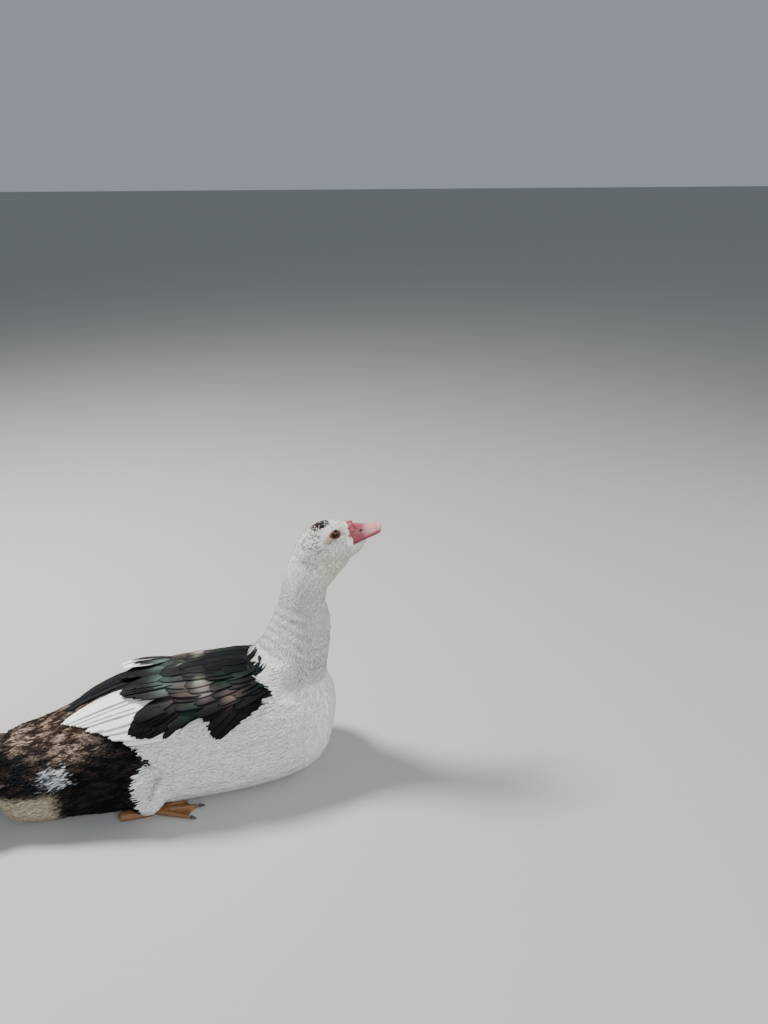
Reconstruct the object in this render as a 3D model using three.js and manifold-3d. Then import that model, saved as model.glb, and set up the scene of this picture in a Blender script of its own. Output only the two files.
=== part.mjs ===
// A muscovy duck that sits on the ground with its neck up, life size, in millimetres.
// +X runs to its breast, +Y to its left side and +Z up. The ground is Z = 0.
import * as THREE from "three";
import { mergeVertices } from "three/addons/utils/BufferGeometryUtils.js";
import Module from "manifold-3d";

const wasm = await Module();
wasm.setup();

// Driving dimensions
const GAP = 0.3; // kept between pieces that touch
const SIDES = { right: -1, left: 1 };

// The torso's sections along X: its back, its belly, half its width, and the height where it is widest.
const TORSO_STATIONS = [
  { x: -312, top: 106, belly: 14, half: 53, wide: 58 },
  { x: -276, top: 115, belly: 0, half: 68, wide: 58 },
  { x: -240, top: 121, belly: -3, half: 75, wide: 62 },
  { x: -205, top: 134, belly: -3, half: 79, wide: 66 },
  { x: -160, top: 158, belly: -6, half: 86, wide: 74 },
  { x: -105, top: 178, belly: -6, half: 92, wide: 82 },
  { x: -45, top: 184, belly: -7, half: 96, wide: 84 },
  { x: 15, top: 185, belly: -7, half: 97, wide: 86 },
  { x: 75, top: 186, belly: -6, half: 94, wide: 90 },
  { x: 125, top: 182, belly: 0, half: 86, wide: 96 },
  { x: 162, top: 172, belly: 20, half: 70, wide: 102 },
  { x: 190, top: 148, belly: 60, half: 44, wide: 108 },
];
const TORSO_END_ROUND = { rear: 36, breast: 30 };
const BACK_FULLNESS = 0.92; // 1 is an ellipse, and less is squarer
const BELLY_FULLNESS = 0.74;

// The neck's sections along Z: its centre along X, and half its depth and width.
const NECK_STATIONS = [
  { z: 140, x: 114, fore: 62, side: 64 },
  { z: 175, x: 118, fore: 61, side: 60 },
  { z: 200, x: 128, fore: 56, side: 52 },
  { z: 224, x: 135.5, fore: 50.5, side: 44 },
  { z: 245, x: 141, fore: 45, side: 37 },
  { z: 265, x: 143.5, fore: 38, side: 31.5 },
  { z: 285, x: 144, fore: 32.5, side: 28 },
  { z: 305, x: 153, fore: 36.5, side: 27 },
  { z: 325, x: 165.5, fore: 44, side: 26.2 },
  { z: 343, x: 173.5, fore: 45, side: 24.5 },
  { z: 358, x: 175, fore: 36.5, side: 19 },
];
const NECK_END_ROUND = 12;

// The head's sections along X: its crown, its chin, half its width, and the height where it is widest.
const HEAD_STATIONS = [
  { x: 136, top: 361, belly: 340, half: 15, wide: 350 },
  { x: 146, top: 373.5, belly: 328, half: 20.5, wide: 353 },
  { x: 158, top: 386, belly: 321, half: 25, wide: 355 },
  { x: 174, top: 395.5, belly: 322, half: 27, wide: 359 },
  { x: 190, top: 397.5, belly: 321, half: 25, wide: 362 },
  { x: 203, top: 395, belly: 323, half: 20.5, wide: 364 },
  { x: 214, top: 390.5, belly: 332, half: 16, wide: 367 },
  { x: 224, top: 385, belly: 348, half: 12.5, wide: 371 },
];
const HEAD_END_ROUND = { rear: 9, bill: 5 };
const CHIN = { x: 217, z: 349.5, long: 29, wide: 10.5, high: 11.5, tilt: 33 };
const EYE = { x: 192, y: 15.5, z: 383, radius: 6.6 };
const LID = { reach: 8.8, thick: 1.8, out: 3.2, lean: 24, turn: 14 };

// The bill's sections along X: its ridge, the line of the mouth, its underside, and half its width.
const BILL_STATIONS = [
  { x: 214, ridge: 389, mouth: 364, under: 358, half: 13.5 },
  { x: 224, ridge: 388, mouth: 365.5, under: 359.5, half: 12.6 },
  { x: 236, ridge: 386, mouth: 368.6, under: 363.6, half: 11.4 },
  { x: 247, ridge: 384.6, mouth: 372, under: 368, half: 12 },
  { x: 256, ridge: 384.4, mouth: 375, under: 371.6, half: 12 },
  { x: 263, ridge: 383.6, mouth: 376.6, under: 374.2, half: 9.4 },
];
const BILL_TIP_ROUND = 5;
const NAIL = { x: 257.5, z: 382.2, long: 6, wide: 5.4, high: 3.2 };
// The red fleshy folds round the bill's base: how far they stand proud, and how long they are.
const CARUNCLES = { rear: 211, front: 221, middleZ: 375, half: 13.6, high: 15.6, proud: 1.4 };
// Rows of bulbs on those folds: how many, where along X, how far round from the ridge they reach in
// degrees, how far proud of the folds, and how large.
const BULB_ROWS = [
  { count: 7, x: 212.5, reach: 124, proud: -0.4, size: 2.9 },
  { count: 8, x: 218.5, reach: 134, proud: -0.6, size: 3.4 },
  { count: 3, x: 224.5, reach: 40, proud: -2.6, size: 2.9 },
];
const KNOB = { x: 226, z: 389.6, size: 3.2 }; // the dark-tipped one over the nostrils
const NOSTRIL = { x: 231, y: 11.4, z: 381, long: 3, deep: 3.6, high: 1.5 };

// The folded foot: the shank lies flat on the ground from the hock forward, with the toes before it.
const HOCK = { x: -144, y: 77, z: 9, radius: 8 };
const ANKLE = { x: -92, y: 76, radius: 6.2 };
const TOES = [
  { turn: -20, length: 50, radius: 5.2 },
  { turn: 2, length: 62, radius: 5.6 },
  { turn: 24, length: 54, radius: 5.2 },
];
const TOE_TIP_Z = 3;
const CLAW = { length: 7, radius: 2.4, end: 0.7 };
// The inner toe is small and turns back, as a spur.
const SPUR = { back: 4, inward: 17, radius: 3.6, end: 2.2 };
const WEB = { thick: 2.2, reach: 0.93, scoop: 9 };
const THIGH = { x: -101, y: 82, z: 56, long: 31, deep: 21, high: 46, tilt: 8 };

// A vane is one flight or tail feather, or one of the larger ones that cover their roots.
// Its root is narrower than its middle, widest by a share of its length, and it thins toward its tip.
const VANE = { rows: 3, coverRows: 2, columns: 2, edge: 0.6, shaft: 1.4, tip: 0.3 };
const VANE_FORM = { root: 0.3, opensBy: 0.6, blunt: 5, thinner: 0.45, crowd: 1.6 };

// The tail: a fan of feathers from a root in the rump, with a core of flesh, and covers above and below.
const TAIL = { rootX: -262, rootHalf: 22, z: 88, length: 104, shorter: 0.16 };
const TAIL_FEATHERS = { count: 12, width: 25, spread: 27 };
const TAIL_LIE = { drop: 1.7, stagger: 0.4, sag: 5 }; // how far each lies below the next inner one
const TAIL_CORE = { rear: -336, front: -240, half: 54, deep: 38, rearShare: 0.14, z: 77 };
// Covers over and under the tail: at root and tip, their place along X, their height, and how far out
// the row reaches. Step is how much lower or higher the next outer one lies.
const TAIL_COVERS = [
  { count: 4, x: [-286, -338], z: [94, 90], half: [30, 42], width: 30, step: -1.9 },
  { count: 5, x: [-284, -322], z: [98, 98], half: [32, 42], width: 28, step: -2.3 },
  { count: 4, x: [-286, -342], z: [68, 72], half: [28, 38], width: 30, step: 1.9 },
  { count: 5, x: [-284, -326], z: [58, 58], half: [32, 44], width: 30, step: 2.2 },
];

const COVER_SHORTER = 8; // by how much the outermost cover falls short
const COVER_SWAY = 4;

// The folded wing's core on the torso's side: how far along, how far up the side, and how thick.
const WING = { front: 116, rear: -112, low: 44, high: 136, thick: 8, sunk: 4 };
// The wing's tiers of vanes, the lowest first. Each runs from its first vane to its last, whose roots and
// tips are places along X and up the torso's side. Lift is the height over the skin at the roots, at the
// first tip and at the last.
const WING_TIERS = [
  { count: 7, first: { root: [-40, 54], tip: [-119, 56] }, last: { root: [-64, 118], tip: [-199, 106] },
    width: [24, 20], lift: [1.8, 5, 5], tilt: 0.16, rows: VANE.rows },
  { count: 6, first: { root: [62, 78], tip: [4, 42] }, last: { root: [-26, 104], tip: [-116, 63] },
    width: [26, 30], lift: [4.6, 7, 7.6], tilt: 0.14, rows: VANE.rows },
  { count: 5, first: { root: [70, 86], tip: [20, 66] }, last: { root: [-30, 120], tip: [-122, 112] },
    width: [30, 32], lift: [5.6, 8.6, 9], tilt: 0.14, rows: VANE.rows },
  { count: 3, first: { root: [-20, 118], tip: [-100, 122] }, last: { root: [-10, 132], tip: [-108, 133] },
    width: [28, 28], lift: [5.6, 10.4, 9.4], tilt: 0.14, rows: VANE.rows },
  { count: 5, first: { root: [72, 88], tip: [24, 76] }, last: { root: [34, 132], tip: [-52, 134] },
    width: [32, 30], lift: [4.4, 10.6, 9.6], tilt: 0.13, rows: VANE.coverRows },
  { count: 4, first: { root: [104, 78], tip: [62, 74] }, last: { root: [84, 126], tip: [22, 134] },
    width: [32, 30], lift: [2, 11.4, 10.6], tilt: 0.12, rows: VANE.coverRows },
];
const VANE_SWAY = 3; // how far a tip strays along its own length

// The value of a smooth curve through the stations' key at place, where on is the key of their places.
function profile(stations, on, key, place) {
  const last = stations.length - 1;
  const s = THREE.MathUtils.clamp(place, stations[0][on], stations[last][on]);
  const i = Math.max(0, Math.min(last - 1, stations.findIndex((station) => station[on] > s) - 1));
  const k = s >= stations[last][on] ? last - 1 : i;
  const slope = (j) => {
    const [a, b] = [stations[Math.max(0, j - 1)], stations[Math.min(last, j + 1)]];
    return (b[key] - a[key]) / (b[on] - a[on]);
  };
  const [from, to] = [stations[k], stations[k + 1]];
  const span = to[on] - from[on];
  const f = (s - from[on]) / span;
  const rise = 3 * f * f - 2 * f * f * f;
  const leave = slope(k) * span * (f - 2 * f * f + f * f * f);
  const arrive = slope(k + 1) * span * (f * f * f - f * f);
  return from[key] * (1 - rise) + to[key] * rise + leave + arrive;
}

// How far a body has opened at distance from its rounded end, from 0 to 1.
function endRound(distance, length) {
  const left = 1 - THREE.MathUtils.clamp(distance / length, 0, 1);
  return Math.sqrt(1 - left * left);
}

// A squarish round: sine or cosine bent by fullness.
function bent(value, fullness) {
  return Math.sign(value) * Math.abs(value) ** fullness;
}

// A closed body from a sphere, where place(t, angle) gives a point at t from pole to pole, 0 to 1.
function blob(columns, rows, place) {
  const geometry = new THREE.SphereGeometry(1, columns, rows);
  const position = geometry.getAttribute("position");
  for (let i = 0; i < position.count; i++) {
    const p = new THREE.Vector3().fromBufferAttribute(position, i);
    const t = (1 - p.y) / 2;
    const pole = Math.hypot(p.x, p.z) < 1e-6;
    const made = pole
      ? place(t, Math.PI / 2).add(place(t, -Math.PI / 2)).multiplyScalar(0.5)
      : place(t, Math.atan2(p.z, p.x));
    position.setXYZ(i, ...made.toArray());
  }
  return geometry;
}

// A solid from a closed geometry, turned to face outwards.
function solid(geometry) {
  const bare = geometry.clone();
  for (const name of ["normal", "uv"]) bare.deleteAttribute(name);
  const merged = mergeVertices(bare, 1e-3);
  const vertProperties = new Float32Array(merged.getAttribute("position").array);
  const triVerts = new Uint32Array(merged.index.array);
  const made = new wasm.Manifold(new wasm.Mesh({ numProp: 3, vertProperties, triVerts }));
  if (made.volume() > 0) return made;
  return new wasm.Manifold(new wasm.Mesh({ numProp: 3, vertProperties, triVerts: triVerts.reverse() }));
}

// The largest closed surface of a solid.
function largest(body) {
  return body.decompose().reduce((most, piece) => (piece.volume() > most.volume() ? piece : most));
}

function joined(pieces) {
  return largest(wasm.Manifold.union(pieces));
}

// An ellipsoid with half axes along X, Y and Z.
function ellipsoid(centre, axes, columns = 16, rows = 10) {
  const geometry = new THREE.SphereGeometry(1, columns, rows);
  geometry.scale(...axes);
  geometry.translate(...centre);
  return solid(geometry);
}

// A point of the torso's skin, or of one that lies grow outside it, angle round from the left side.
function torsoPoint(x, angle, grow = 0, open = 1) {
  const [top, belly, half, wide] = ["top", "belly", "half", "wide"].map((key) =>
    profile(TORSO_STATIONS, "x", key, x),
  );
  const up = Math.sin(angle) > 0;
  const fullness = up ? BACK_FULLNESS : BELLY_FULLNESS;
  const rise = (up ? top - wide : wide - belly) * open + grow;
  const z = wide + rise * bent(Math.sin(angle), fullness);
  const y = (half * open + grow) * bent(Math.cos(angle), fullness);
  return new THREE.Vector3(x, y, Math.max(z, -grow));
}

function torso(grow = 0) {
  const [rear, breast] = [TORSO_STATIONS[0].x, TORSO_STATIONS.at(-1).x];
  return solid(
    blob(28, 22, (t, angle) => {
      const x = rear + (breast - rear) * t;
      const open = Math.min(
        endRound(x - rear, TORSO_END_ROUND.rear),
        endRound(breast - x, TORSO_END_ROUND.breast),
      );
      const point = torsoPoint(x, angle, grow, open);
      point.x += grow * (2 * t - 1);
      return point;
    }),
  );
}

function neck(grow = 0) {
  const [low, high] = [NECK_STATIONS[0].z, NECK_STATIONS.at(-1).z];
  return solid(
    blob(20, 14, (t, angle) => {
      const z = low + (high - low) * t;
      const [x, fore, side] = ["x", "fore", "side"].map((key) => profile(NECK_STATIONS, "z", key, z));
      const open = Math.min(endRound(z - low, NECK_END_ROUND), endRound(high - z, NECK_END_ROUND));
      const run = x + (fore * open + grow) * Math.sin(angle);
      return new THREE.Vector3(run, (side * open + grow) * Math.cos(angle), z + grow * (2 * t - 1));
    }),
  );
}

function headBody(grow = 0) {
  const [rear, front] = [HEAD_STATIONS[0].x, HEAD_STATIONS.at(-1).x];
  return solid(
    blob(24, 18, (t, angle) => {
      const x = rear + (front - rear) * t;
      const [top, belly, half, wide] = ["top", "belly", "half", "wide"].map((key) =>
        profile(HEAD_STATIONS, "x", key, x),
      );
      const open = Math.min(
        endRound(x - rear, HEAD_END_ROUND.rear),
        endRound(front - x, HEAD_END_ROUND.bill),
      );
      const rise = (Math.sin(angle) > 0 ? top - wide : wide - belly) * open + grow;
      const y = (half * open + grow) * Math.cos(angle);
      return new THREE.Vector3(x + grow * (2 * t - 1), y, wide + rise * Math.sin(angle));
    }),
  );
}

// The upper half of the bill with its nail, and a pit for each nostril.
function billUpper() {
  const nail = ellipsoid([NAIL.x, 0, NAIL.z], [NAIL.long, NAIL.wide, NAIL.high], 8, 6);
  const pits = Object.values(SIDES).map((side) =>
    ellipsoid([NOSTRIL.x, side * NOSTRIL.y, NOSTRIL.z], [NOSTRIL.long, NOSTRIL.deep, NOSTRIL.high], 8, 5),
  );
  return largest(pits.reduce((bill, pit) => bill.subtract(pit), billHalf(true).add(nail)));
}

// The feathered chin, which runs forward under the bill.
function chin(grow = 0) {
  const shape = new THREE.SphereGeometry(1, 12, 10);
  shape.scale(CHIN.long + grow, CHIN.wide + grow, CHIN.high + grow);
  shape.rotateY(THREE.MathUtils.degToRad(-CHIN.tilt));
  shape.translate(CHIN.x, 0, CHIN.z);
  return solid(shape);
}

function eyeball(side, grow = 0) {
  const radius = EYE.radius + grow;
  return ellipsoid([EYE.x, side * EYE.y, EYE.z], [radius, radius, radius], 14, 10);
}

// The rim of lids round one eye.
function lids(side) {
  const ring = new THREE.TorusGeometry(LID.reach - LID.thick, LID.thick, 5, 14);
  ring.scale(1.1, 0.86, 1);
  ring.rotateX(Math.PI / 2 + side * THREE.MathUtils.degToRad(LID.lean));
  ring.rotateZ(-side * THREE.MathUtils.degToRad(LID.turn));
  ring.translate(EYE.x + 0.6, side * (EYE.y + LID.out), EYE.z + 1);
  return solid(ring);
}

function billHalf(upper, grow = 0) {
  const [rear, tip] = [BILL_STATIONS[0].x, BILL_STATIONS.at(-1).x];
  return solid(
    blob(14, 12, (t, angle) => {
      const x = rear + (tip - rear) * t;
      const [ridge, mouth, under, half] = ["ridge", "mouth", "under", "half"].map((key) =>
        profile(BILL_STATIONS, "x", key, x),
      );
      const open = Math.min(1, endRound(x - rear, 2), endRound(tip - x, BILL_TIP_ROUND));
      const middle = upper ? mouth : mouth - GAP;
      const [above, below] = upper ? [(ridge - mouth) * open, 0.6] : [0, (middle - under) * open];
      const rise = Math.sin(angle) > 0 ? above + grow : below + grow;
      const width = (upper ? half : half - 1.4) * open + grow;
      const z = middle + rise * bent(Math.sin(angle), 0.85);
      const y = width * bent(Math.cos(angle), 0.7);
      return new THREE.Vector3(x, y, Math.max(z, upper ? middle - grow : 0));
    }),
  );
}

// A place round the bill's base, turn degrees round from its ridge, proud of it.
function roundBillBase(x, turn, proud) {
  const angle = THREE.MathUtils.degToRad(turn);
  const y = (CARUNCLES.half + proud) * Math.sin(angle);
  return [x, y, CARUNCLES.middleZ + (CARUNCLES.high + proud) * Math.cos(angle)];
}

// The red folds over the bill's base, set with rows of bulbs.
function caruncles() {
  const collar = blob(14, 6, (t, angle) => {
    const open = Math.sqrt(4 * t * (1 - t));
    const turn = 90 - THREE.MathUtils.radToDeg(angle);
    return new THREE.Vector3(
      ...roundBillBase(lerp(CARUNCLES.rear, CARUNCLES.front, t), turn, CARUNCLES.proud * open),
    );
  });
  const random = dice(3);
  const bulbs = BULB_ROWS.flatMap((row) =>
    Array.from({ length: row.count }, (_, i) => {
      const turn = row.reach * ((2 * i) / (row.count - 1) - 1);
      const size = row.size * (0.8 + 0.4 * random());
      return ellipsoid(roundBillBase(row.x + random(), turn, row.proud), [size, size, size], 7, 5);
    }),
  );
  const knob = ellipsoid([KNOB.x, 0, KNOB.z], [KNOB.size, KNOB.size * 1.3, KNOB.size], 8, 6);
  const folds = wasm.Manifold.union([solid(collar), ...bulbs, knob]);
  return largest(folds.subtract(headRoom).subtract(billRoom));
}

// The feathered thigh, which runs down and back to the hock.
function thigh(side, grow = 0) {
  const shape = new THREE.SphereGeometry(1, 16, 12);
  shape.scale(...[THIGH.long, THIGH.deep, THIGH.high].map((half) => half + grow));
  shape.rotateY(THREE.MathUtils.degToRad(-THIGH.tilt));
  shape.translate(THIGH.x, side * THIGH.y, THIGH.z);
  return solid(shape);
}

// A tapered rod that lies on the ground from one place to another.
function rod(from, to, radius, end, columns = 7, rows = 5) {
  const start = new THREE.Vector3(...from);
  const run = new THREE.Vector3(...to).sub(start);
  const side = new THREE.Vector3(-run.y, run.x, 0).normalize();
  return solid(
    blob(columns, rows, (t, angle) => {
      const open = Math.min(endRound(t * run.length(), radius), endRound((1 - t) * run.length(), end));
      const r = (radius + (end - radius) * t) * open;
      const point = start.clone().addScaledVector(run, t).addScaledVector(side, r * Math.cos(angle));
      point.z = Math.max(0, point.z + r * Math.sin(angle));
      return point;
    }),
  );
}

// A place on the ground that lies length along a toe.
function alongToe(side, toe, length) {
  const turn = THREE.MathUtils.degToRad(toe.turn);
  return [ANKLE.x + length * Math.cos(turn), side * (ANKLE.y + length * Math.sin(turn))];
}

// One toe with the claw at its tip.
function toe(side, digit) {
  const tip = [...alongToe(side, digit, digit.length), TOE_TIP_Z];
  const bone = rod([ANKLE.x, side * ANKLE.y, ANKLE.radius], tip, digit.radius, CLAW.radius);
  const point = [...alongToe(side, digit, digit.length + CLAW.length), CLAW.end];
  const base = [...alongToe(side, digit, digit.length - CLAW.length), TOE_TIP_Z];
  return [bone, rod(base, point, CLAW.radius, CLAW.end, 5, 4)];
}

// The web between the toes, a thin plate on the ground.
function web(side) {
  const tips = TOES.map((digit) => alongToe(side, digit, digit.length * WEB.reach));
  const shape = new THREE.Shape();
  shape.moveTo(ANKLE.x - 2, side * ANKLE.y);
  shape.lineTo(...tips[0]);
  tips.slice(1).forEach(([x, y], i) => {
    const [fromX, fromY] = tips[i];
    shape.quadraticCurveTo((fromX + x) / 2 - WEB.scoop, (fromY + y) / 2, x, y);
  });
  const plate = { depth: WEB.thick, bevelEnabled: false, curveSegments: 4 };
  return solid(new THREE.ExtrudeGeometry(shape, plate));
}

function foot(side) {
  const hock = [HOCK.x, side * HOCK.y, HOCK.z];
  const ankle = [ANKLE.x, side * ANKLE.y, ANKLE.radius];
  const toes = TOES.flatMap((digit) => toe(side, digit));
  const spurTip = [ANKLE.x - SPUR.back, side * (ANKLE.y - SPUR.inward), TOE_TIP_Z];
  const spur = rod(ankle, spurTip, SPUR.radius, SPUR.end);
  return joined([rod(hock, ankle, HOCK.radius, ANKLE.radius), ...toes, spur, web(side)]);
}

// Numbers from 0 to 1 that look random and are the same on each run.
function dice(seed) {
  let state = seed;
  return () => {
    state = (Math.imul(state, 1664525) + 1013904223) >>> 0;
    return state / 2 ** 32;
  };
}

function lerp(from, to, t) {
  return from + (to - from) * t;
}

// A closed thin leaf whose two faces are split alike. place(u, v, face) gives a point at u from root to
// tip, 0 to 1, and v from edge to edge, -1 to 1, on the upper face, 1, or the lower, -1.
function leaf(rows, columns, place) {
  const sheet = new THREE.PlaneGeometry(2, 1, columns, rows);
  const flat = sheet.getAttribute("position");
  const upper = [...sheet.index.array];
  const points = [];
  for (const face of [1, -1])
    for (let i = 0; i < flat.count; i++)
      points.push(...place(0.5 - flat.getY(i), flat.getX(i), face).toArray());
  const faces = [...upper];
  for (let i = 0; i < upper.length; i += 3)
    faces.push(upper[i] + flat.count, upper[i + 2] + flat.count, upper[i + 1] + flat.count);
  const across = columns + 1;
  const rim = [];
  for (let row = 0; row < rows; row++) rim.push(row * across);
  for (let column = 0; column < columns; column++) rim.push(rows * across + column);
  for (let row = rows; row > 0; row--) rim.push(row * across + columns);
  for (let column = columns; column > 0; column--) rim.push(column);
  rim.forEach((a, k) => {
    const b = rim[(k + 1) % rim.length];
    faces.push(b, a, a + flat.count, b, a + flat.count, b + flat.count);
  });
  const geometry = new THREE.BufferGeometry();
  geometry.setAttribute("position", new THREE.Float32BufferAttribute(points, 3));
  geometry.setIndex(faces);
  return geometry;
}

// One vane, where spot(u, across, height) gives a point at u from root to tip, across from the shaft.
function vane(width, tilt, rows, spot) {
  return solid(
    leaf(rows, VANE.columns, (row, v, face) => {
      const u = 1 - (1 - row) ** VANE_FORM.crowd;
      const opened = lerp(VANE_FORM.root, 1, Math.min(1, u / VANE_FORM.opensBy));
      const half = (width / 2) * Math.max(VANE.tip, Math.sqrt(1 - u ** VANE_FORM.blunt) * opened);
      const thick = lerp(VANE.shaft, VANE.edge, Math.abs(v)) * (1 - VANE_FORM.thinner * u);
      return spot(u, v * half, -tilt * v * half + (face * thick) / 2);
    }),
  );
}

// One tier of a folded wing's vanes, each over the next lower one.
function wingTier(side, tier, random) {
  return Array.from({ length: tier.count }, (_, i) => {
    const f = i / (tier.count - 1);
    const at = (end, k) => lerp(tier.first[end][k], tier.last[end][k], f);
    const [rootX, rootArc] = [at("root", 0), at("root", 1)];
    const [tipX, tipArc] = [at("tip", 0) + VANE_SWAY * (2 * random() - 1), at("tip", 1)];
    const run = new THREE.Vector2(tipX - rootX, tipArc - rootArc);
    const cross = new THREE.Vector2(run.y, -run.x).normalize();
    const tipLift = lerp(tier.lift[1], tier.lift[2], f);
    return vane(lerp(...tier.width, f), tier.tilt, tier.rows, (u, across, height) => {
      const x = rootX + run.x * u + cross.x * across;
      const arc = rootArc + run.y * u + cross.y * across;
      return onTorso(side, x, arc, lerp(tier.lift[0], tipLift, u * (2 - u)) + height);
    });
  });
}

function wingCore(side) {
  const middle = (WING.low + WING.high) / 2;
  return solid(
    blob(14, 10, (t, angle) => {
      const open = Math.sqrt(4 * t * (1 - t));
      const arc = middle + (WING.high - middle) * open * Math.cos(angle);
      const height = Math.sin(angle) * open * (Math.sin(angle) > 0 ? WING.thick : WING.sunk);
      return onTorso(side, lerp(WING.rear, WING.front, t), arc, height);
    }),
  );
}

function wing(side) {
  const random = dice(side > 0 ? 11 : 7);
  const vanes = WING_TIERS.flatMap((tier) => wingTier(side, tier, random));
  return wasm.Manifold.union([wingCore(side), ...vanes]);
}

// A point that lies height above the torso's skin, arc up its side from where it is widest.
function onTorso(side, x, arc, height) {
  const [top, half, wide] = ["top", "half", "wide"].map((key) => profile(TORSO_STATIONS, "x", key, x));
  const point = torsoPoint(x, arc / ((half + top - wide) / 2), height);
  point.y *= side;
  return point;
}

// The tail's own feathers: a fan whose middle ones lie uppermost.
function tailFan() {
  return Array.from({ length: TAIL_FEATHERS.count }, (_, i) => {
    const out = (2 * i) / (TAIL_FEATHERS.count - 1) - 1;
    const turn = THREE.MathUtils.degToRad(TAIL_FEATHERS.spread * out);
    const length = TAIL.length * (1 - TAIL.shorter * out * out);
    const rank = Math.abs(i - (TAIL_FEATHERS.count - 1) / 2);
    const back = new THREE.Vector2(-Math.cos(turn), Math.sin(turn));
    const aside = new THREE.Vector2(back.y, -back.x);
    const z = TAIL.z - TAIL_LIE.drop * rank + (i % 2) * TAIL_LIE.stagger;
    return vane(TAIL_FEATHERS.width, 0, VANE.rows, (u, across, height) => {
      const run = back.clone().multiplyScalar(length * u).addScaledVector(aside, across);
      const y = TAIL.rootHalf * out + run.y;
      return new THREE.Vector3(TAIL.rootX + run.x, y, z + height - TAIL_LIE.sag * u);
    });
  });
}

// One row of covers over or under the tail, from one side to the other.
function tailCovers(row, random) {
  const face = Math.sign(-row.step);
  return Array.from({ length: row.count }, (_, i) => {
    const out = (2 * i) / (row.count - 1) - 1;
    const rank = Math.abs(i - (row.count - 1) / 2);
    const from = new THREE.Vector3(row.x[0], row.half[0] * out, row.z[0] + row.step * rank);
    const tipX = row.x[1] + COVER_SHORTER * out * out + COVER_SWAY * random();
    const tip = new THREE.Vector3(tipX, row.half[1] * out, row.z[1] + row.step * rank);
    const run = tip.sub(from);
    const aside = new THREE.Vector3(-run.y, run.x, 0).normalize();
    return vane(row.width, 0, VANE.coverRows, (u, across, height) => {
      const point = from.clone().addScaledVector(run, u).addScaledVector(aside, across);
      point.z += face * height;
      return point;
    });
  });
}

function tail() {
  const core = blob(16, 10, (t, angle) => {
    const open = Math.min(1, Math.sin(Math.PI * t) ** 0.5);
    const deep = TAIL_CORE.deep * lerp(TAIL_CORE.rearShare, 1, t) * open;
    const [x, y] = [lerp(TAIL_CORE.rear, TAIL_CORE.front, t), TAIL_CORE.half * open * Math.cos(angle)];
    return new THREE.Vector3(x, y, TAIL_CORE.z + deep * Math.sin(angle));
  });
  const random = dice(5);
  const covers = TAIL_COVERS.flatMap((row) => tailCovers(row, random));
  return wasm.Manifold.union([solid(core), ...tailFan(), ...covers]);
}

const duck = new THREE.Group();

function add(name, body, look) {
  const { vertProperties, triVerts } = body.getMesh();
  const geometry = new THREE.BufferGeometry();
  geometry.setAttribute("position", new THREE.BufferAttribute(vertProperties, 3));
  geometry.setIndex(new THREE.BufferAttribute(triVerts, 1));
  const mesh = new THREE.Mesh(geometry, new THREE.MeshStandardMaterial(look));
  mesh.name = name;
  duck.add(mesh);
}

const feathers = (color) => ({ color, roughness: 0.8, metalness: 0 });
const torsoRoom = torso(GAP);
const headRoom = wasm.Manifold.union(headBody(GAP), chin(GAP));
const billRoom = wasm.Manifold.union(billHalf(true, GAP), billHalf(false, GAP));
const eyes = Object.values(SIDES).map((side) => eyeball(side, GAP));

add("torso", torso(), feathers("#2a2624"));
add("neck", largest(neck().subtract(torsoRoom).subtract(headRoom)), feathers("#e6e2da"));
const face = wasm.Manifold.union([headBody(), chin(), lids(SIDES.right), lids(SIDES.left)]);
const skull = eyes.reduce((body, eye) => body.subtract(eye), face.subtract(billRoom));
add("head", largest(skull), feathers("#ece8e2"));
add("caruncles", caruncles(), { color: "#c8485a", roughness: 0.5, metalness: 0 });
add("bill_upper", billUpper(), { color: "#d98a86", roughness: 0.45, metalness: 0 });
add("bill_lower", billHalf(false), { color: "#d08a80", roughness: 0.45, metalness: 0 });
for (const [name, side] of Object.entries(SIDES)) {
  add("eye_" + name, eyeball(side), { color: "#2b1a12", roughness: 0.1, metalness: 0 });
  add("wing_" + name, largest(wing(side).subtract(torsoRoom).subtract(neck(GAP))), feathers("#20282a"));
  add("thigh_" + name, largest(thigh(side).subtract(torsoRoom)), feathers("#d9d4cc"));
  const legRoom = wasm.Manifold.union(torsoRoom, thigh(side, GAP));
  const shank = largest(foot(side).subtract(legRoom));
  add("foot_" + name, shank, { color: "#c9701c", roughness: 0.6, metalness: 0 });
}
add("tail", largest(tail().subtract(torsoRoom)), feathers("#4a3a32"));

// The frame's origin is on the ground under the middle of the duck's box.
const box = new THREE.Box3().setFromObject(duck);
const middle = box.getCenter(new THREE.Vector3());
duck.position.set(-middle.x, -middle.y, 0);

export default duck;
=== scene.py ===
# A muscovy duck that sits with its neck up. Skin, feathers, bill, eyes and feet dress its solids.
import math
from collections import namedtuple

import bmesh
import bpy
import numpy as np
from mathutils import Matrix, Vector
from mathutils.bvhtree import BVHTree


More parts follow.
